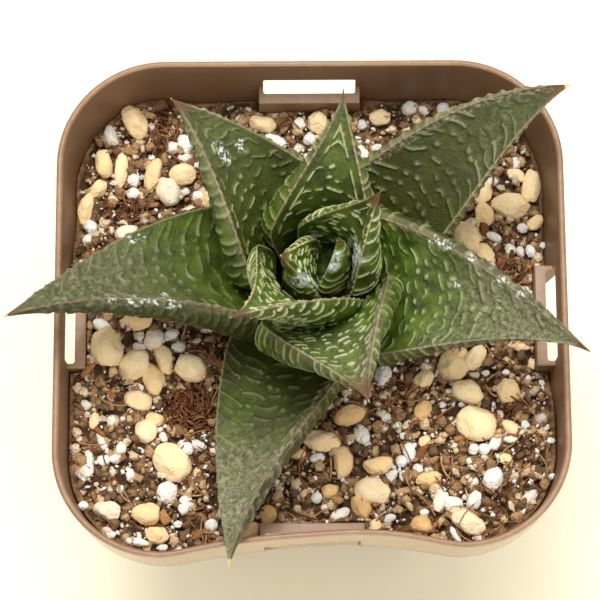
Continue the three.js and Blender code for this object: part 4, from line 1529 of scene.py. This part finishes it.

# White spots on the leaves: chalky lime where dried water has been, on leaf_05 and the heart, and
# painted glints (highlights) on leaf_03 and leaf_04. Each is x, y, z and radius of a spot
CHALK_AND_GLINTS = {
    "leaf_03": [(-28.4, -2.0, 75.0, 0.5), (-25.4, -1.9, 74.4, 0.9), (-23.6, -2.0, 74.1, 0.6),
                (-20.0, -2.0, 72.8, 0.9), (-18.6, -2.0, 72.3, 0.5), (-22.0, -1.9, 73.5, 0.5),
                (-26.0, 8.5, 68.9, 0.6), (-24.6, 9.2, 68.2, 0.5), (-21.0, -0.6, 72.0, 0.5)],
    "leaf_04": [(17.4, 6.6, 75.0, 0.7), (18.6, 5.8, 75.5, 0.9), (19.5, 5.3, 75.9, 0.6),
                (22.7, 3.2, 76.8, 0.6), (27.1, -0.4, 77.6, 0.8), (26.8, -3.1, 74.9, 0.6),
                (20.8, 0.6, 73.2, 0.6), (29.5, -2.6, 77.6, 0.6)],
    "leaf_05": [(-13.3, 20.2, 75.5, 1.0), (-12.3, 19.2, 74.7, 0.9), (-10.1, 21.5, 73.1, 0.8)],
    "leaf_09": [(6.5, 5.3, 76.7, 1.1), (6.9, 3.6, 78.1, 1.3), (6.4, 3.6, 75.6, 1.3),
                (6.4, 3.6, 74.1, 1.2), (6.2, 3.2, 72.2, 1.0)],
    "leaf_10": [(-1.1, 0.3, 76.5, 1.0), (-1.9, 0.1, 76.0, 0.9), (-0.2, 0.6, 75.4, 1.1),
                (-2.9, 0.2, 75.4, 0.9), (-1.8, 1.0, 77.4, 0.5)],
    "leaf_11": [(3.1, 2.4, 75.8, 1.0), (3.7, 3.4, 77.4, 0.9)],
}


@dataclass(frozen=True)
class Dash:
    """One raised dash of a band: where it lies across the leaf, and its form."""

    middle: float
    half: float
    width: float
    height: float
    slant: float
    shift: float
    curl: float


@dataclass(frozen=True)
class Bands:
    """Rows of raised dashes across a surface."""

    spacing: float               # from row to row
    chevron: float               # how far the rows run towards the tip from the margin inwards
    chevron_run: float           # over which distance from the margin
    wander: float                # how far a row wanders, in rows
    long_dashes: tuple[float, float]     # lengths beside the margins
    short_dashes: tuple[float, float]    # and further in
    dots: float                  # share of the inner dashes that are dots
    near_gaps: tuple[float, float]
    far_gaps: tuple[float, float]
    width: float                 # half width of a dash
    worn_width: float            # the same where the leaf is worn
    clear: float = 0.6           # what stays free beside a margin
    margin_zone: float = 3.6     # how far in the long dashes reach
    shift: float = 0.16          # how far a dash leaves its row, as a share of the spacing
    missing: float = 0.1         # share of the dashes that are left out
    curl: tuple[float, float] = (-0.6, 0.6)    # how far the ends of a long dash curl

    def row_of_dashes(self, half: float, share: float, worn: float,
                      rng: random.Random) -> list[Dash]:
        """The dashes of one row, from one margin to the other.

        Args:
            half: Half the width that the row crosses.
            share: The row's place along the leaf, from 0 at the root to 1 at the tip.
            worn: How worn the leaf is there.
            rng: Random numbers for this row.

        Returns:
            The dashes.
        """
        dashes = []
        young = 1 - ease(share, 0.2, 0.45)
        spot = -half + self.clear * rng.uniform(0.8, 1.5)
        while spot < half - self.clear:
            beside = half - abs(spot) < self.margin_zone
            if beside or rng.random() < 0.5 * young * worn:
                length = rng.uniform(*self.long_dashes)
            elif rng.random() < self.dots:
                length = rng.uniform(0.05, 0.3)
            else:
                length = rng.uniform(*self.short_dashes)
            length = min(length, half - self.clear - spot)
            width = lerp(self.width, self.worn_width, worn) * rng.uniform(0.85, 1.25)
            width *= 1.0 if length > 0.4 else 1.45
            height = rng.uniform(0.55, 1.0)
            shift = self.spacing * rng.uniform(-self.shift, self.shift)
            slant = rng.uniform(-0.22, 0.22)
            curl = rng.uniform(*self.curl) * min(1.0, length / 2)
            if rng.random() > self.missing + 0.12 * worn:
                middle = spot + length / 2
                dashes.append(Dash(middle, length / 2, width, height, slant, shift, curl))
            spot += length + rng.uniform(*(self.near_gaps if beside else self.far_gaps))
        return dashes

    def heights(self, along: np.ndarray, across: np.ndarray, half: np.ndarray,
                worn: np.ndarray, wander: np.ndarray, seed: int) -> np.ndarray:
        """How far each point stands up, as a share of the bands' height.

        Args:
            along: Distance of each point from the root, in millimetres.
            across: Its distance from the middle of the surface.
            half: Half the width there.
            worn: How worn the leaf is there.
            wander: Noise from -1 to 1 that bends the rows.
            seed: Makes the leaf's pattern its own.

        Returns:
            A share from 0 to 1 for each point.
        """
        from_margin = np.maximum(half - np.abs(across), 0.0)
        chevron = self.chevron * (1 - np.exp(-from_margin / self.chevron_run))
        rows = (along - chevron) / self.spacing + self.wander * wander
        index = np.round(rows).astype(int)
        offset = (rows - index) * self.spacing
        total = along.max() / self.spacing
        result = np.zeros(along.shape)
        for row in range(index.min(), index.max() + 1):
            inside = index == row
            if not inside.any():
                continue
            rng = random.Random(seed * 1009 + row)
            x, y = across[inside], offset[inside]
            widest = float(half[inside].max())
            ground = np.zeros(x.shape)
            for dash in self.row_of_dashes(widest, row / total, float(worn[inside].mean()), rng):
                beyond = np.maximum(np.abs(x - dash.middle) - dash.half, 0.0)
                reach = np.clip((x - dash.middle) / max(dash.half, 0.3), -1.3, 1.3)
                aside = y - dash.shift - dash.slant * (x - dash.middle) - dash.curl * reach ** 2
                away = np.hypot(beyond, aside)
                bump_here = dash.height * (1 - ease(away, 0.25 * dash.width, 1.75 * dash.width))
                ground = np.maximum(ground, bump_here)
            result[inside] = ground
        return result


@dataclass(frozen=True)
class Sheet:
    """A leaf's bare surface: rows from the root to the tip, columns round the section.

    points, normal: Places in millimetres, and unit normals that point out of the leaf.
    tip: The point in which the rows end.
    along, to_tip, share: Distance from the root and from the tip, and share of the way.
    across, half: Place across the section, and half the section's width.
    inwards: Distance from the nearest margin, positive on the face, negative on the back.
    on_face: Which columns are on the face.
    clouds, wander: Noise from -1 to 1 that varies the wear, and that bends the bands.
    worn: How worn the leaf is there, from 0 to 1.
    fade: How far the relief has set in, from 0 at both ends of the leaf to 1 between them.
    rim: How near the margin is, from 0 to 1.
    """

    points: np.ndarray
    normal: np.ndarray
    tip: np.ndarray
    along: np.ndarray
    to_tip: np.ndarray
    share: np.ndarray
    across: np.ndarray
    half: np.ndarray
    inwards: np.ndarray
    on_face: np.ndarray
    clouds: np.ndarray
    wander: np.ndarray
    worn: np.ndarray
    fade: np.ndarray
    rim: np.ndarray


@dataclass
class Leaf:
    """A leaf's skin: a sheet wrapped round the CAD's sections, with its relief."""

    shape: LeafShape
    axis: Axis
    pot_height: float
    seed: int
    face_cells: int = 84
    flank_cells: int = 30
    row_step: float = 0.22
    neck: float = 0.7
    neck_end: float = 0.25
    clasp: float = 0.35
    clasp_end: float = 0.2
    thickness_power: float = 0.9
    shoulder: float = 0.55
    relief: float = 0.36         # height of the bands
    bead: float = 0.07           # how far the horny margin stands out
    bead_width: float = 0.17
    tubercle: float = 0.24       # how far its tubercles do
    tubercle_step: float = 1.4
    line_inset: float = 1.35     # where a band follows the margin
    line_width: float = 0.22
    lump_height: float = 0.12
    rough_height: float = 0.05
    swell_height: float = 0.1
    rise_width: float = 1.2      # half width from which the relief has its full height
    clouds: tuple[float, float] = (7.0, 0.0)     # grain and shift of each noise
    wander: tuple[float, float] = (3.2, 5.0)
    rough: tuple[float, float] = (0.8, 11.0)
    swell: tuple[float, float] = (2.4, 21.0)
    lumps: tuple[float, float] = (0.75, 31.0)
    flecks: tuple[float, float] = (0.42, 41.0)
    scales: tuple[float, float] = (0.5, 61.0)
    streaks: tuple[float, float] = (1.0, 0.0)

    def line(self, t: np.ndarray) -> tuple[np.ndarray, np.ndarray]:
        """The line that the leaf follows from its root to its tip.

        Args:
            t: Shares of the way.

        Returns:
            Points and unit directions.
        """
        leaf = self.shape
        start = np.array([leaf.inset, 0.0, leaf.root])
        end = np.array([leaf.reach, leaf.sweep, leaf.tip])
        third = np.linalg.norm(end - start) / 3
        rise, arrive = np.radians(leaf.climb)
        turn = math.radians(leaf.turn)
        leave = start + third * np.array([math.cos(rise), 0.0, math.sin(rise)])
        reach = end - third * np.array([math.cos(arrive) * math.cos(turn),
                                        math.cos(arrive) * math.sin(turn), math.sin(arrive)])
        u = t[:, None]
        points = ((1 - u) ** 3 * start + 3 * (1 - u) ** 2 * u * leave
                  + 3 * (1 - u) * u ** 2 * reach + u ** 3 * end)
        ahead = ((1 - u) ** 2 * (leave - start) + 2 * (1 - u) * u * (reach - leave)
                 + u ** 2 * (end - reach))
        ahead /= np.linalg.norm(ahead, axis=1, keepdims=True)
        facing = math.radians(leaf.facing)
        spin = np.array([[math.cos(facing), math.sin(facing), 0.0],
                         [-math.sin(facing), math.cos(facing), 0.0],
                         [0.0, 0.0, 1.0]])
        foot_x, foot_y = self.axis.at(leaf.root)
        return points @ spin + np.array([foot_x, foot_y, self.pot_height]), ahead @ spin

    def sections(self, t: np.ndarray) -> tuple[np.ndarray, np.ndarray, np.ndarray]:
        """The leaf's cross sections, each from one margin over the face and back round the keel.

        Args:
            t: Shares of the way to the tip.

        Returns:
            Places across and up in each section, half the width, and the distance of each
            point from the nearest margin, positive on the face and negative on the back.
        """
        leaf = self.shape
        u = t[:, None]
        narrow = lerp(self.neck, 1.0, ease(u, 0.0, self.neck_end))
        half = leaf.width / 2 * (1 - u * u) ** leaf.taper * narrow
        clasp = self.clasp * (1 - ease(u, 0.0, self.clasp_end))
        cup = (lerp(leaf.cup[0], leaf.cup[1], u) + clasp) * half
        depth = leaf.thick * (1 - u * u) ** self.thickness_power + cup
        even = np.linspace(-1, 1, self.face_cells + 1)
        v = -lerp(even, np.sin(even * math.pi / 2), 0.6)
        face = np.stack([v * half, -cup * (1 - v * v)], axis=-1)
        f = (np.linspace(0, 1, self.flank_cells + 1) ** 1.25)[:, None]
        flanks = []
        for side in (-1, 1):
            edge = np.stack([side * half, 0 * half], axis=-1)
            belly = np.stack([side * half * (1 + leaf.belly), -self.shoulder * depth], axis=-1)
            keel = np.stack([leaf.keel * half, -depth], axis=-1)
            flanks.append((1 - f) ** 2 * edge + 2 * (1 - f) * f * belly + f ** 2 * keel)
        section = np.concatenate([face, flanks[0][:, 1:], flanks[1][:, -2::-1]], axis=1)
        steps = np.linalg.norm(np.diff(section, axis=1), axis=2)
        walked = np.concatenate([np.zeros((len(t), 1)), np.cumsum(steps, axis=1)], axis=1)
        whole = walked[:, -1:]
        far_margin = walked[:, self.face_cells][:, None]
        to_margin = np.minimum(np.minimum(walked, np.abs(walked - far_margin)), whole - walked)
        on_face = np.arange(section.shape[1]) <= self.face_cells
        return section, half, np.where(on_face, to_margin, -to_margin)

    def noise(self, points: np.ndarray, kind: tuple[float, float]) -> np.ndarray:
        """Noise from -1 to 1 that is the leaf's own, by its grain and its shift."""
        grain, shift = kind
        return noise_over(points, grain, shift + self.seed)

    def youth(self) -> float:
        """How young the leaf is: 1 for the leaves in the middle, 0 for the worn ones."""
        return float(1 - ease(self.shape.worn, 0.1, 0.3))

    def sheet(self) -> Sheet:
        """Lays the leaf's surface, without its relief.

        Returns:
            The bare surface.
        """
        leaf = self.shape
        fine = self.line(np.linspace(0, 1, 200))[0]
        length = float(np.linalg.norm(np.diff(fine, axis=0), axis=1).sum())
        rows = max(40, round(length / self.row_step))
        t = np.linspace(0, 1, rows + 1)
        centre, ahead = self.line(t)
        steps = np.linalg.norm(np.diff(centre, axis=0), axis=1)
        walked = np.concatenate([[0.0], np.cumsum(steps)])
        heading = np.radians(leaf.facing + leaf.turn * t)
        across = np.stack([-np.sin(heading), np.cos(heading), 0 * heading], axis=-1)
        across -= (across * ahead).sum(axis=1, keepdims=True) * ahead
        across /= np.linalg.norm(across, axis=1, keepdims=True)
        tilt = np.radians(leaf.roll + leaf.twist * t)[:, None]
        across = across * np.cos(tilt) + np.cross(ahead, across) * np.sin(tilt)
        up = np.cross(ahead, across)
        section, half, inwards = self.sections(t)
        points = (centre[:, None] + section[..., :1] * across[:, None]
                  + section[..., 1:] * up[:, None])
        along = np.broadcast_to(walked[:, None], inwards.shape)
        share = np.broadcast_to(t[:, None], inwards.shape)
        clouds = self.noise(points, self.clouds)
        return Sheet(points=points,
                     normal=self.outward(points),
                     tip=centre[-1],
                     along=along,
                     to_tip=walked[-1] - along,
                     share=share,
                     across=section[..., 0],
                     half=np.broadcast_to(half, inwards.shape),
                     inwards=inwards,
                     on_face=np.arange(inwards.shape[1]) <= self.face_cells,
                     clouds=clouds,
                     wander=self.noise(points, self.wander),
                     worn=leaf.worn * ease(share + 0.12 * clouds, 0.25, 0.8),
                     fade=ease(share, 0.03, 0.14) * (1 - ease(share, 0.84, 0.95)),
                     rim=np.exp(-(inwards / self.bead_width) ** 2))

    def face_relief(self, sheet: Sheet) -> np.ndarray:
        """The bands across the face, and the broken ones that follow its margins.

        Args:
            sheet: The bare surface.

        Returns:
            How far each point stands up, from 0 to 1.
        """
        leaf = self.shape
        young = self.youth()
        long_dashes, short_dashes = leaf.dashes
        bands = Bands(spacing=leaf.band_step, chevron=3.0, chevron_run=3.2, wander=0.28,
                      long_dashes=long_dashes, short_dashes=short_dashes, dots=leaf.dots,
                      near_gaps=(0.6, lerp(1.3, 1.7, young)),
                      far_gaps=(lerp(0.8, 1.2, young), lerp(2.0, 2.6, young)),
                      width=lerp(0.2, 0.33, young), worn_width=0.46,
                      clear=0.6 + 1.2 * leaf.edge_line)
        relief = bands.heights(sheet.along, sheet.across, sheet.half, sheet.worn,
                               sheet.wander, self.seed)
        side = np.where(sheet.across > 0, 3.0, -3.0)
        unrolled = np.stack([sheet.along / 2.2, side, 0 * sheet.along], axis=-1)
        streaks = ease(self.noise(unrolled, self.streaks), -0.25, 0.05)
        line = np.exp(-((sheet.inwards - self.line_inset) / self.line_width) ** 2)
        return np.maximum(relief, leaf.edge_line * line * streaks)

    def back_relief(self, sheet: Sheet) -> np.ndarray:
        """The bands across the back, from each margin to the keel.

        Args:
            sheet: The bare surface.

        Returns:
            How far each point stands up, from 0 to 1.
        """
        bands = Bands(spacing=1.8, chevron=2.0, chevron_run=5.0, wander=0.12,
                      long_dashes=(2.0, 4.5), short_dashes=(0.5, 2.5), dots=0.3,
                      near_gaps=(0.3, 0.9), far_gaps=(0.5, 1.4), width=0.27, worn_width=0.4,
                      clear=0.3, curl=(0.0, 0.4))
        flank = np.abs(sheet.inwards).max(axis=1, keepdims=True)
        flank = np.broadcast_to(flank, sheet.inwards.shape)
        side = np.where(sheet.across > self.shape.keel * sheet.half, 1.0, -1.0)
        from_keel = side * (flank + sheet.inwards)
        return bands.heights(sheet.along, from_keel, flank, 0.6 * sheet.worn,
                             sheet.wander, self.seed + 50)

    def ridges(self, sheet: Sheet) -> np.ndarray:
        """All the bands, run out towards both ends and the margins.

        Args:
            sheet: The bare surface.

        Returns:
            How far each point stands up, from 0 to 1.
        """
        face = self.face_relief(sheet) * (1 - 0.3 * sheet.worn)
        ridge = np.where(sheet.on_face, face, self.back_relief(sheet))
        return ridge * sheet.fade * (1 - sheet.rim)

    def crusts(self, sheet: Sheet) -> tuple[np.ndarray, np.ndarray, np.ndarray]:
        """The scurf beside one margin of the face, and the lumps of the worn skin.

        Args:
            sheet: The bare surface.

        Returns:
            How scurfy each point is, the noise that breaks the scurf up, and how far the
            lumps stand up, from 0 to 1.
        """
        scurf = self.shape.scurf
        scurfy = 1 - ease(sheet.inwards, 0.6 * scurf, scurf + 0.01)
        scurfy = scurfy * ease(sheet.share, 0.15, 0.4)
        scurfy = scurfy * np.where(sheet.on_face & (sheet.across > 0), 1.0, 0.0)
        scales = self.noise(sheet.points, self.scales)
        lumps = ease(self.noise(sheet.points, self.lumps), 0.0, 0.45) * sheet.worn
        return scurfy, scales, np.maximum(lumps, scurfy * ease(scales, -0.1, 0.3))

    def raised(self, sheet: Sheet, ridge: np.ndarray, lumps: np.ndarray) -> np.ndarray:
        """The points of the skin with its relief.

        Args:
            sheet: The bare surface.
            ridge: How far the bands stand up.
            lumps: How far the lumps do.

        Returns:
            The places in millimetres.
        """
        beads = np.cos(2 * math.pi * sheet.along / self.tubercle_step + 5 * sheet.wander)
        beads = np.maximum(0.0, beads) ** 1.5
        beads = beads * ease(sheet.clouds + 0.6 * sheet.wander, -0.5, 0.3)
        edge = sheet.rim * (self.bead + self.tubercle * beads * sheet.fade)
        rough = self.noise(sheet.points, self.rough) * self.rough_height * (0.5 + sheet.worn)
        swell = self.noise(sheet.points, self.swell) * self.swell_height * (0.4 + sheet.worn)
        uneven = (rough + swell + self.lump_height * lumps) * sheet.fade
        stands = (self.relief * ridge + edge + uneven) * ease(sheet.half, 0.0, self.rise_width)
        points = sheet.points + sheet.normal * stands[..., None]
        points[-1] = sheet.tip
        return points

    def chalk_and_glint(self, points: np.ndarray) -> np.ndarray:
        """White chalky lime of dried water, and painted glints on leaf_03 and leaf_04.

        Args:
            points: The places of the finished skin.

        Returns:
            How white each point is, from 0 to 1.
        """
        chalk_and_glint = np.zeros(points.shape[:-1])
        for *spot, radius in CHALK_AND_GLINTS.get(self.shape.node, []):
            away = np.linalg.norm(points - np.array(spot), axis=-1)
            chalk_and_glint = np.maximum(chalk_and_glint, 1 - ease(away, 0.5 * radius, 1.6 * radius))
        flecks = self.noise(points, self.flecks)
        return chalk_and_glint * ease(flecks, lerp(0.05, -0.6, self.youth()), 0.2)

    def skin(self) -> BMesh:
        """Shapes the finished skin, with the attributes that its finish reads.

        Returns:
            The skin.
        """
        leaf = self.shape
        sheet = self.sheet()
        ridge = self.ridges(sheet)
        scurfy, scales, lumps = self.crusts(sheet)
        points = self.raised(sheet, ridge, lumps)
        # painted shade on the face, from the root's amount to the tip's
        painted_shade = lerp(*leaf.painted_shade, ease(sheet.share, 0.25, 0.8))
        # the back's bands are dimmed where the underside has painted shade
        back_pale = lerp(0.6, 0.95, self.youth()) * (1 - 0.7 * leaf.underside_shade)
        pale = leaf.paleness * (0.85 + 0.4 * sheet.clouds) * np.where(
            sheet.on_face, 1 - 0.3 * painted_shade, back_pale)
        strip = ease(-sheet.inwards, 0.05, 0.3) * (1 - ease(-sheet.inwards, 0.7, 1.3))
        # the back's margin strip is dimmed where the underside has painted shade
        strip = strip * leaf.worn ** 1.5 * (1 - 0.6 * leaf.underside_shade)
        horn = sheet.rim * (0.75 + 0.35 * sheet.clouds) * (1 - 0.45 * leaf.worn)
        scabs = np.maximum(0.4 * lumps * sheet.fade, 0.6 * scurfy * ease(scales, 0.0, 0.3))
        # painted shade on the back: heavier on worn leaves and dark undersides, lighter on the
        # bands
        back_painted_shade = 0.7 * leaf.worn + 0.3 * (strip + leaf.underside_shade)
        back_painted_shade = back_painted_shade * (1 - ridge * (1 - 0.7 * leaf.underside_shade))
        to_tip = sheet.to_tip * (1 + 0.35 * sheet.wander)
        bm = net(points, {
            "ridge": np.maximum(ease(ridge, 0.2, 0.75) * pale, scabs),
            "worn": np.maximum(sheet.worn, np.maximum(scurfy, 0.9 * strip * leaf.worn)),
            "margin": np.maximum(np.maximum(horn, strip * (0.35 + 0.5 * sheet.wander)),
                                 0.5 * scurfy * ease(scales, -0.4, 0.3)),
            "painted_shade": np.where(sheet.on_face, painted_shade, back_painted_shade),
            "tip": 1 - ease(to_tip, 0.45 * leaf.brown, 1.25 * leaf.brown),
            "dry": 1 - ease(to_tip, 0.8 * leaf.dry, leaf.dry),
            "chalk_and_glint": self.chalk_and_glint(points),
        })
        close_up(bm)
        return bm

    def outward(self, points: np.ndarray) -> np.ndarray:
        """Unit normals of the sheet, pointing out of the leaf.

        Args:
            points: Rows by columns by x, y, z, the last column the same as the first.

        Returns:
            One normal for each point.
        """
        ring = points[:, :-1]
        round_it = np.roll(ring, -1, axis=1) - np.roll(ring, 1, axis=1)
        down_it = np.gradient(ring, axis=0)
        normal = np.cross(round_it, down_it)
        length = np.linalg.norm(normal, axis=2, keepdims=True)
        normal = normal / np.maximum(length, 1e-9)
        middle = ring.mean(axis=1, keepdims=True)
        if ((ring - middle) * normal).sum() < 0:
            normal = -normal
        return np.concatenate([normal, normal[:, :1]], axis=1)

    def build(self, skin: bpy.types.Material) -> bpy.types.Object:
        """Shapes the leaf and dresses it.

        Args:
            skin: Its finish.

        Returns:
            The leaf.
        """
        obj = to_object(f"{self.shape.node}_skin", self.skin())
        return place(obj, skin, Slot.LEAF, [self.shape.node])


@dataclass
class Stem:
    """The short crown that the leaves grow from."""

    axis: Axis
    pot_height: float
    radii: tuple[tuple[float, float], ...] = (
        (-18, 3.6), (-12, 4.4), (-5, 4.8), (-1, 5.4), (0.6, 4.8), (1.8, 2.8),
    )
    sides: int = 48

    def build(self) -> bpy.types.Object:
        """Spins the crown round the axis, leans it and dresses it.

        Returns:
            The crown.
        """
        bm = bmesh.new()
        low, high = self.radii[0][0], self.radii[-1][0]
        profile = [(low, 0.0), *self.radii, (high, 0.0)]
        verts = [bm.verts.new((radius, 0, level)) for level, radius in profile]
        edges = [bm.edges.new(pair) for pair in zip(verts, verts[1:])]
        bmesh.ops.spin(bm, geom=verts + edges, cent=(0, 0, 0), axis=(0, 0, 1),
                       angle=2 * math.pi, steps=self.sides, use_merge=True)
        bmesh.ops.remove_doubles(bm, verts=bm.verts, dist=MERGE)
        bmesh.ops.recalc_face_normals(bm, faces=bm.faces)
        for vert in bm.verts:
            x, y = self.axis.at(vert.co.z)
            vert.co = (vert.co.x + x, vert.co.y + y, vert.co.z + self.pot_height)
        material, tree, shader = new_material("stem_flesh")
        clouds = tree.rescale(tree.noise(900.0, 4.0), 0.35, 0.65)
        tree.feed(shader, {
            "Base Color": tree.blend(clouds, paint(40, 56, 14), paint(84, 100, 36)),
            "Roughness": 0.7,
            "Specular IOR Level": 0.15,
            "Normal": bump(tree, tree.noise(1100.0, 3.0), 0.4),
        })
        return place(to_object("stem_crown", bm), material, Slot.STEM, ["stem"])


# The camera, the floor and the lights


@dataclass
class Studio:
    """The photograph's view, on a plain pale floor in soft light."""

    look_at: tuple[float, float, float] = (-1.6, 0.4, 65.0)
    stand_at: tuple[float, float, float] = (-1.6, -103.1, 451.4)
    lens: float = 164.6
    roll: float = -0.35
    floor_size: float = 3.0
    floor_colour: Colour = paint(253, 246, 221)
    world_colour: Colour = (1.0, 0.97, 0.89, 1.0)
    world_strength: float = 0.6

    def camera(self) -> None:
        """Sets the camera up where the photograph was taken from."""
        target = Vector(self.look_at) * MM
        eye = Vector(self.stand_at) * MM
        ahead = (target - eye).normalized()
        right = ahead.cross(Vector((0, 0, 1))).normalized()
        up = right.cross(ahead)
        angle = math.radians(self.roll)
        turned_right = right * math.cos(angle) + up * math.sin(angle)
        turned_up = up * math.cos(angle) - right * math.sin(angle)
        data = bpy.data.cameras.new("camera")
        data.lens = self.lens
        data.sensor_width = 36.0
        data.clip_start = 0.01
        camera = bpy.data.objects.new("camera", data)
        turn = Matrix((turned_right, turned_up, -ahead)).transposed().to_4x4()
        camera.matrix_world = Matrix.Translation(eye) @ turn
        bpy.context.scene.collection.objects.link(camera)
        bpy.context.scene.camera = camera

    def floor(self) -> None:
        """Lays the pale floor that the pot stands on."""
        bm = bmesh.new()
        bmesh.ops.create_grid(bm, x_segments=1, y_segments=1, size=self.floor_size / MM / 2)
        floor = to_object("floor", bm)
        material, tree, shader = new_material("floor_paper")
        tree.feed(shader, {"Base Color": self.floor_colour, "Roughness": 0.8})
        floor.data.materials.append(material)

    def lamp(self, name: str, place_at: Vector, target: Vector, size: float, power: float,
             colour: tuple[float, float, float]) -> None:
        """Hangs one square soft box.

        Args:
            name: Its name.
            place_at: Where it hangs, in metres.
            target: What it points at.
            size: Its side in metres.
            power: Its power in watts.
            colour: Its light's colour.
        """
        data = bpy.data.lights.new(name, "AREA")
        data.shape = "SQUARE"
        data.size = size
        data.energy = power
        data.color = colour
        lamp = bpy.data.objects.new(name, data)
        lamp.location = place_at
        lamp.rotation_euler = (target - place_at).to_track_quat("-Z", "Y").to_euler()
        bpy.context.scene.collection.objects.link(lamp)

    def build(self) -> None:
        """Sets up the camera, the floor, the lights and the world."""
        self.camera()
        self.floor()
        middle = Vector((0, 0, 0.06))
        self.lamp("window", Vector((-0.08, 0.36, 0.75)), middle, 0.2, 2.4, (1.0, 0.99, 0.97))
        self.lamp("soft_box", Vector((-0.02, 0.25, 0.82)), middle, 0.5, 5.4, (1.0, 0.98, 0.95))
        self.lamp("fill", Vector((0.4, -0.5, 0.7)), middle, 0.7, 3.0, (1.0, 0.98, 0.95))
        world = bpy.data.worlds.new("studio")
        world.use_nodes = True
        background = world.node_tree.nodes["Background"]
        background.inputs["Color"].default_value = self.world_colour
        background.inputs["Strength"].default_value = self.world_strength
        bpy.context.scene.world = world
        bpy.context.scene.view_settings.view_transform = "Standard"


def main() -> None:
    """Builds the studio, the pot, the soil and the plant, and reports each piece."""
    logging.basicConfig(level=logging.INFO, format="%(message)s")
    Studio().build()
    effects = Effects()
    pot = Pot()
    pot.build(Plastic(effects))
    Soil(pot).build(effects)
    axis = Axis()
    Stem(axis, pot.height).build()
    skin = Flesh(effects).material()
    for index, shape in enumerate(LEAVES):
        Leaf(shape, axis, pot.height, seed=index + 1).build(skin)


if __name__ == "__main__":
    main()
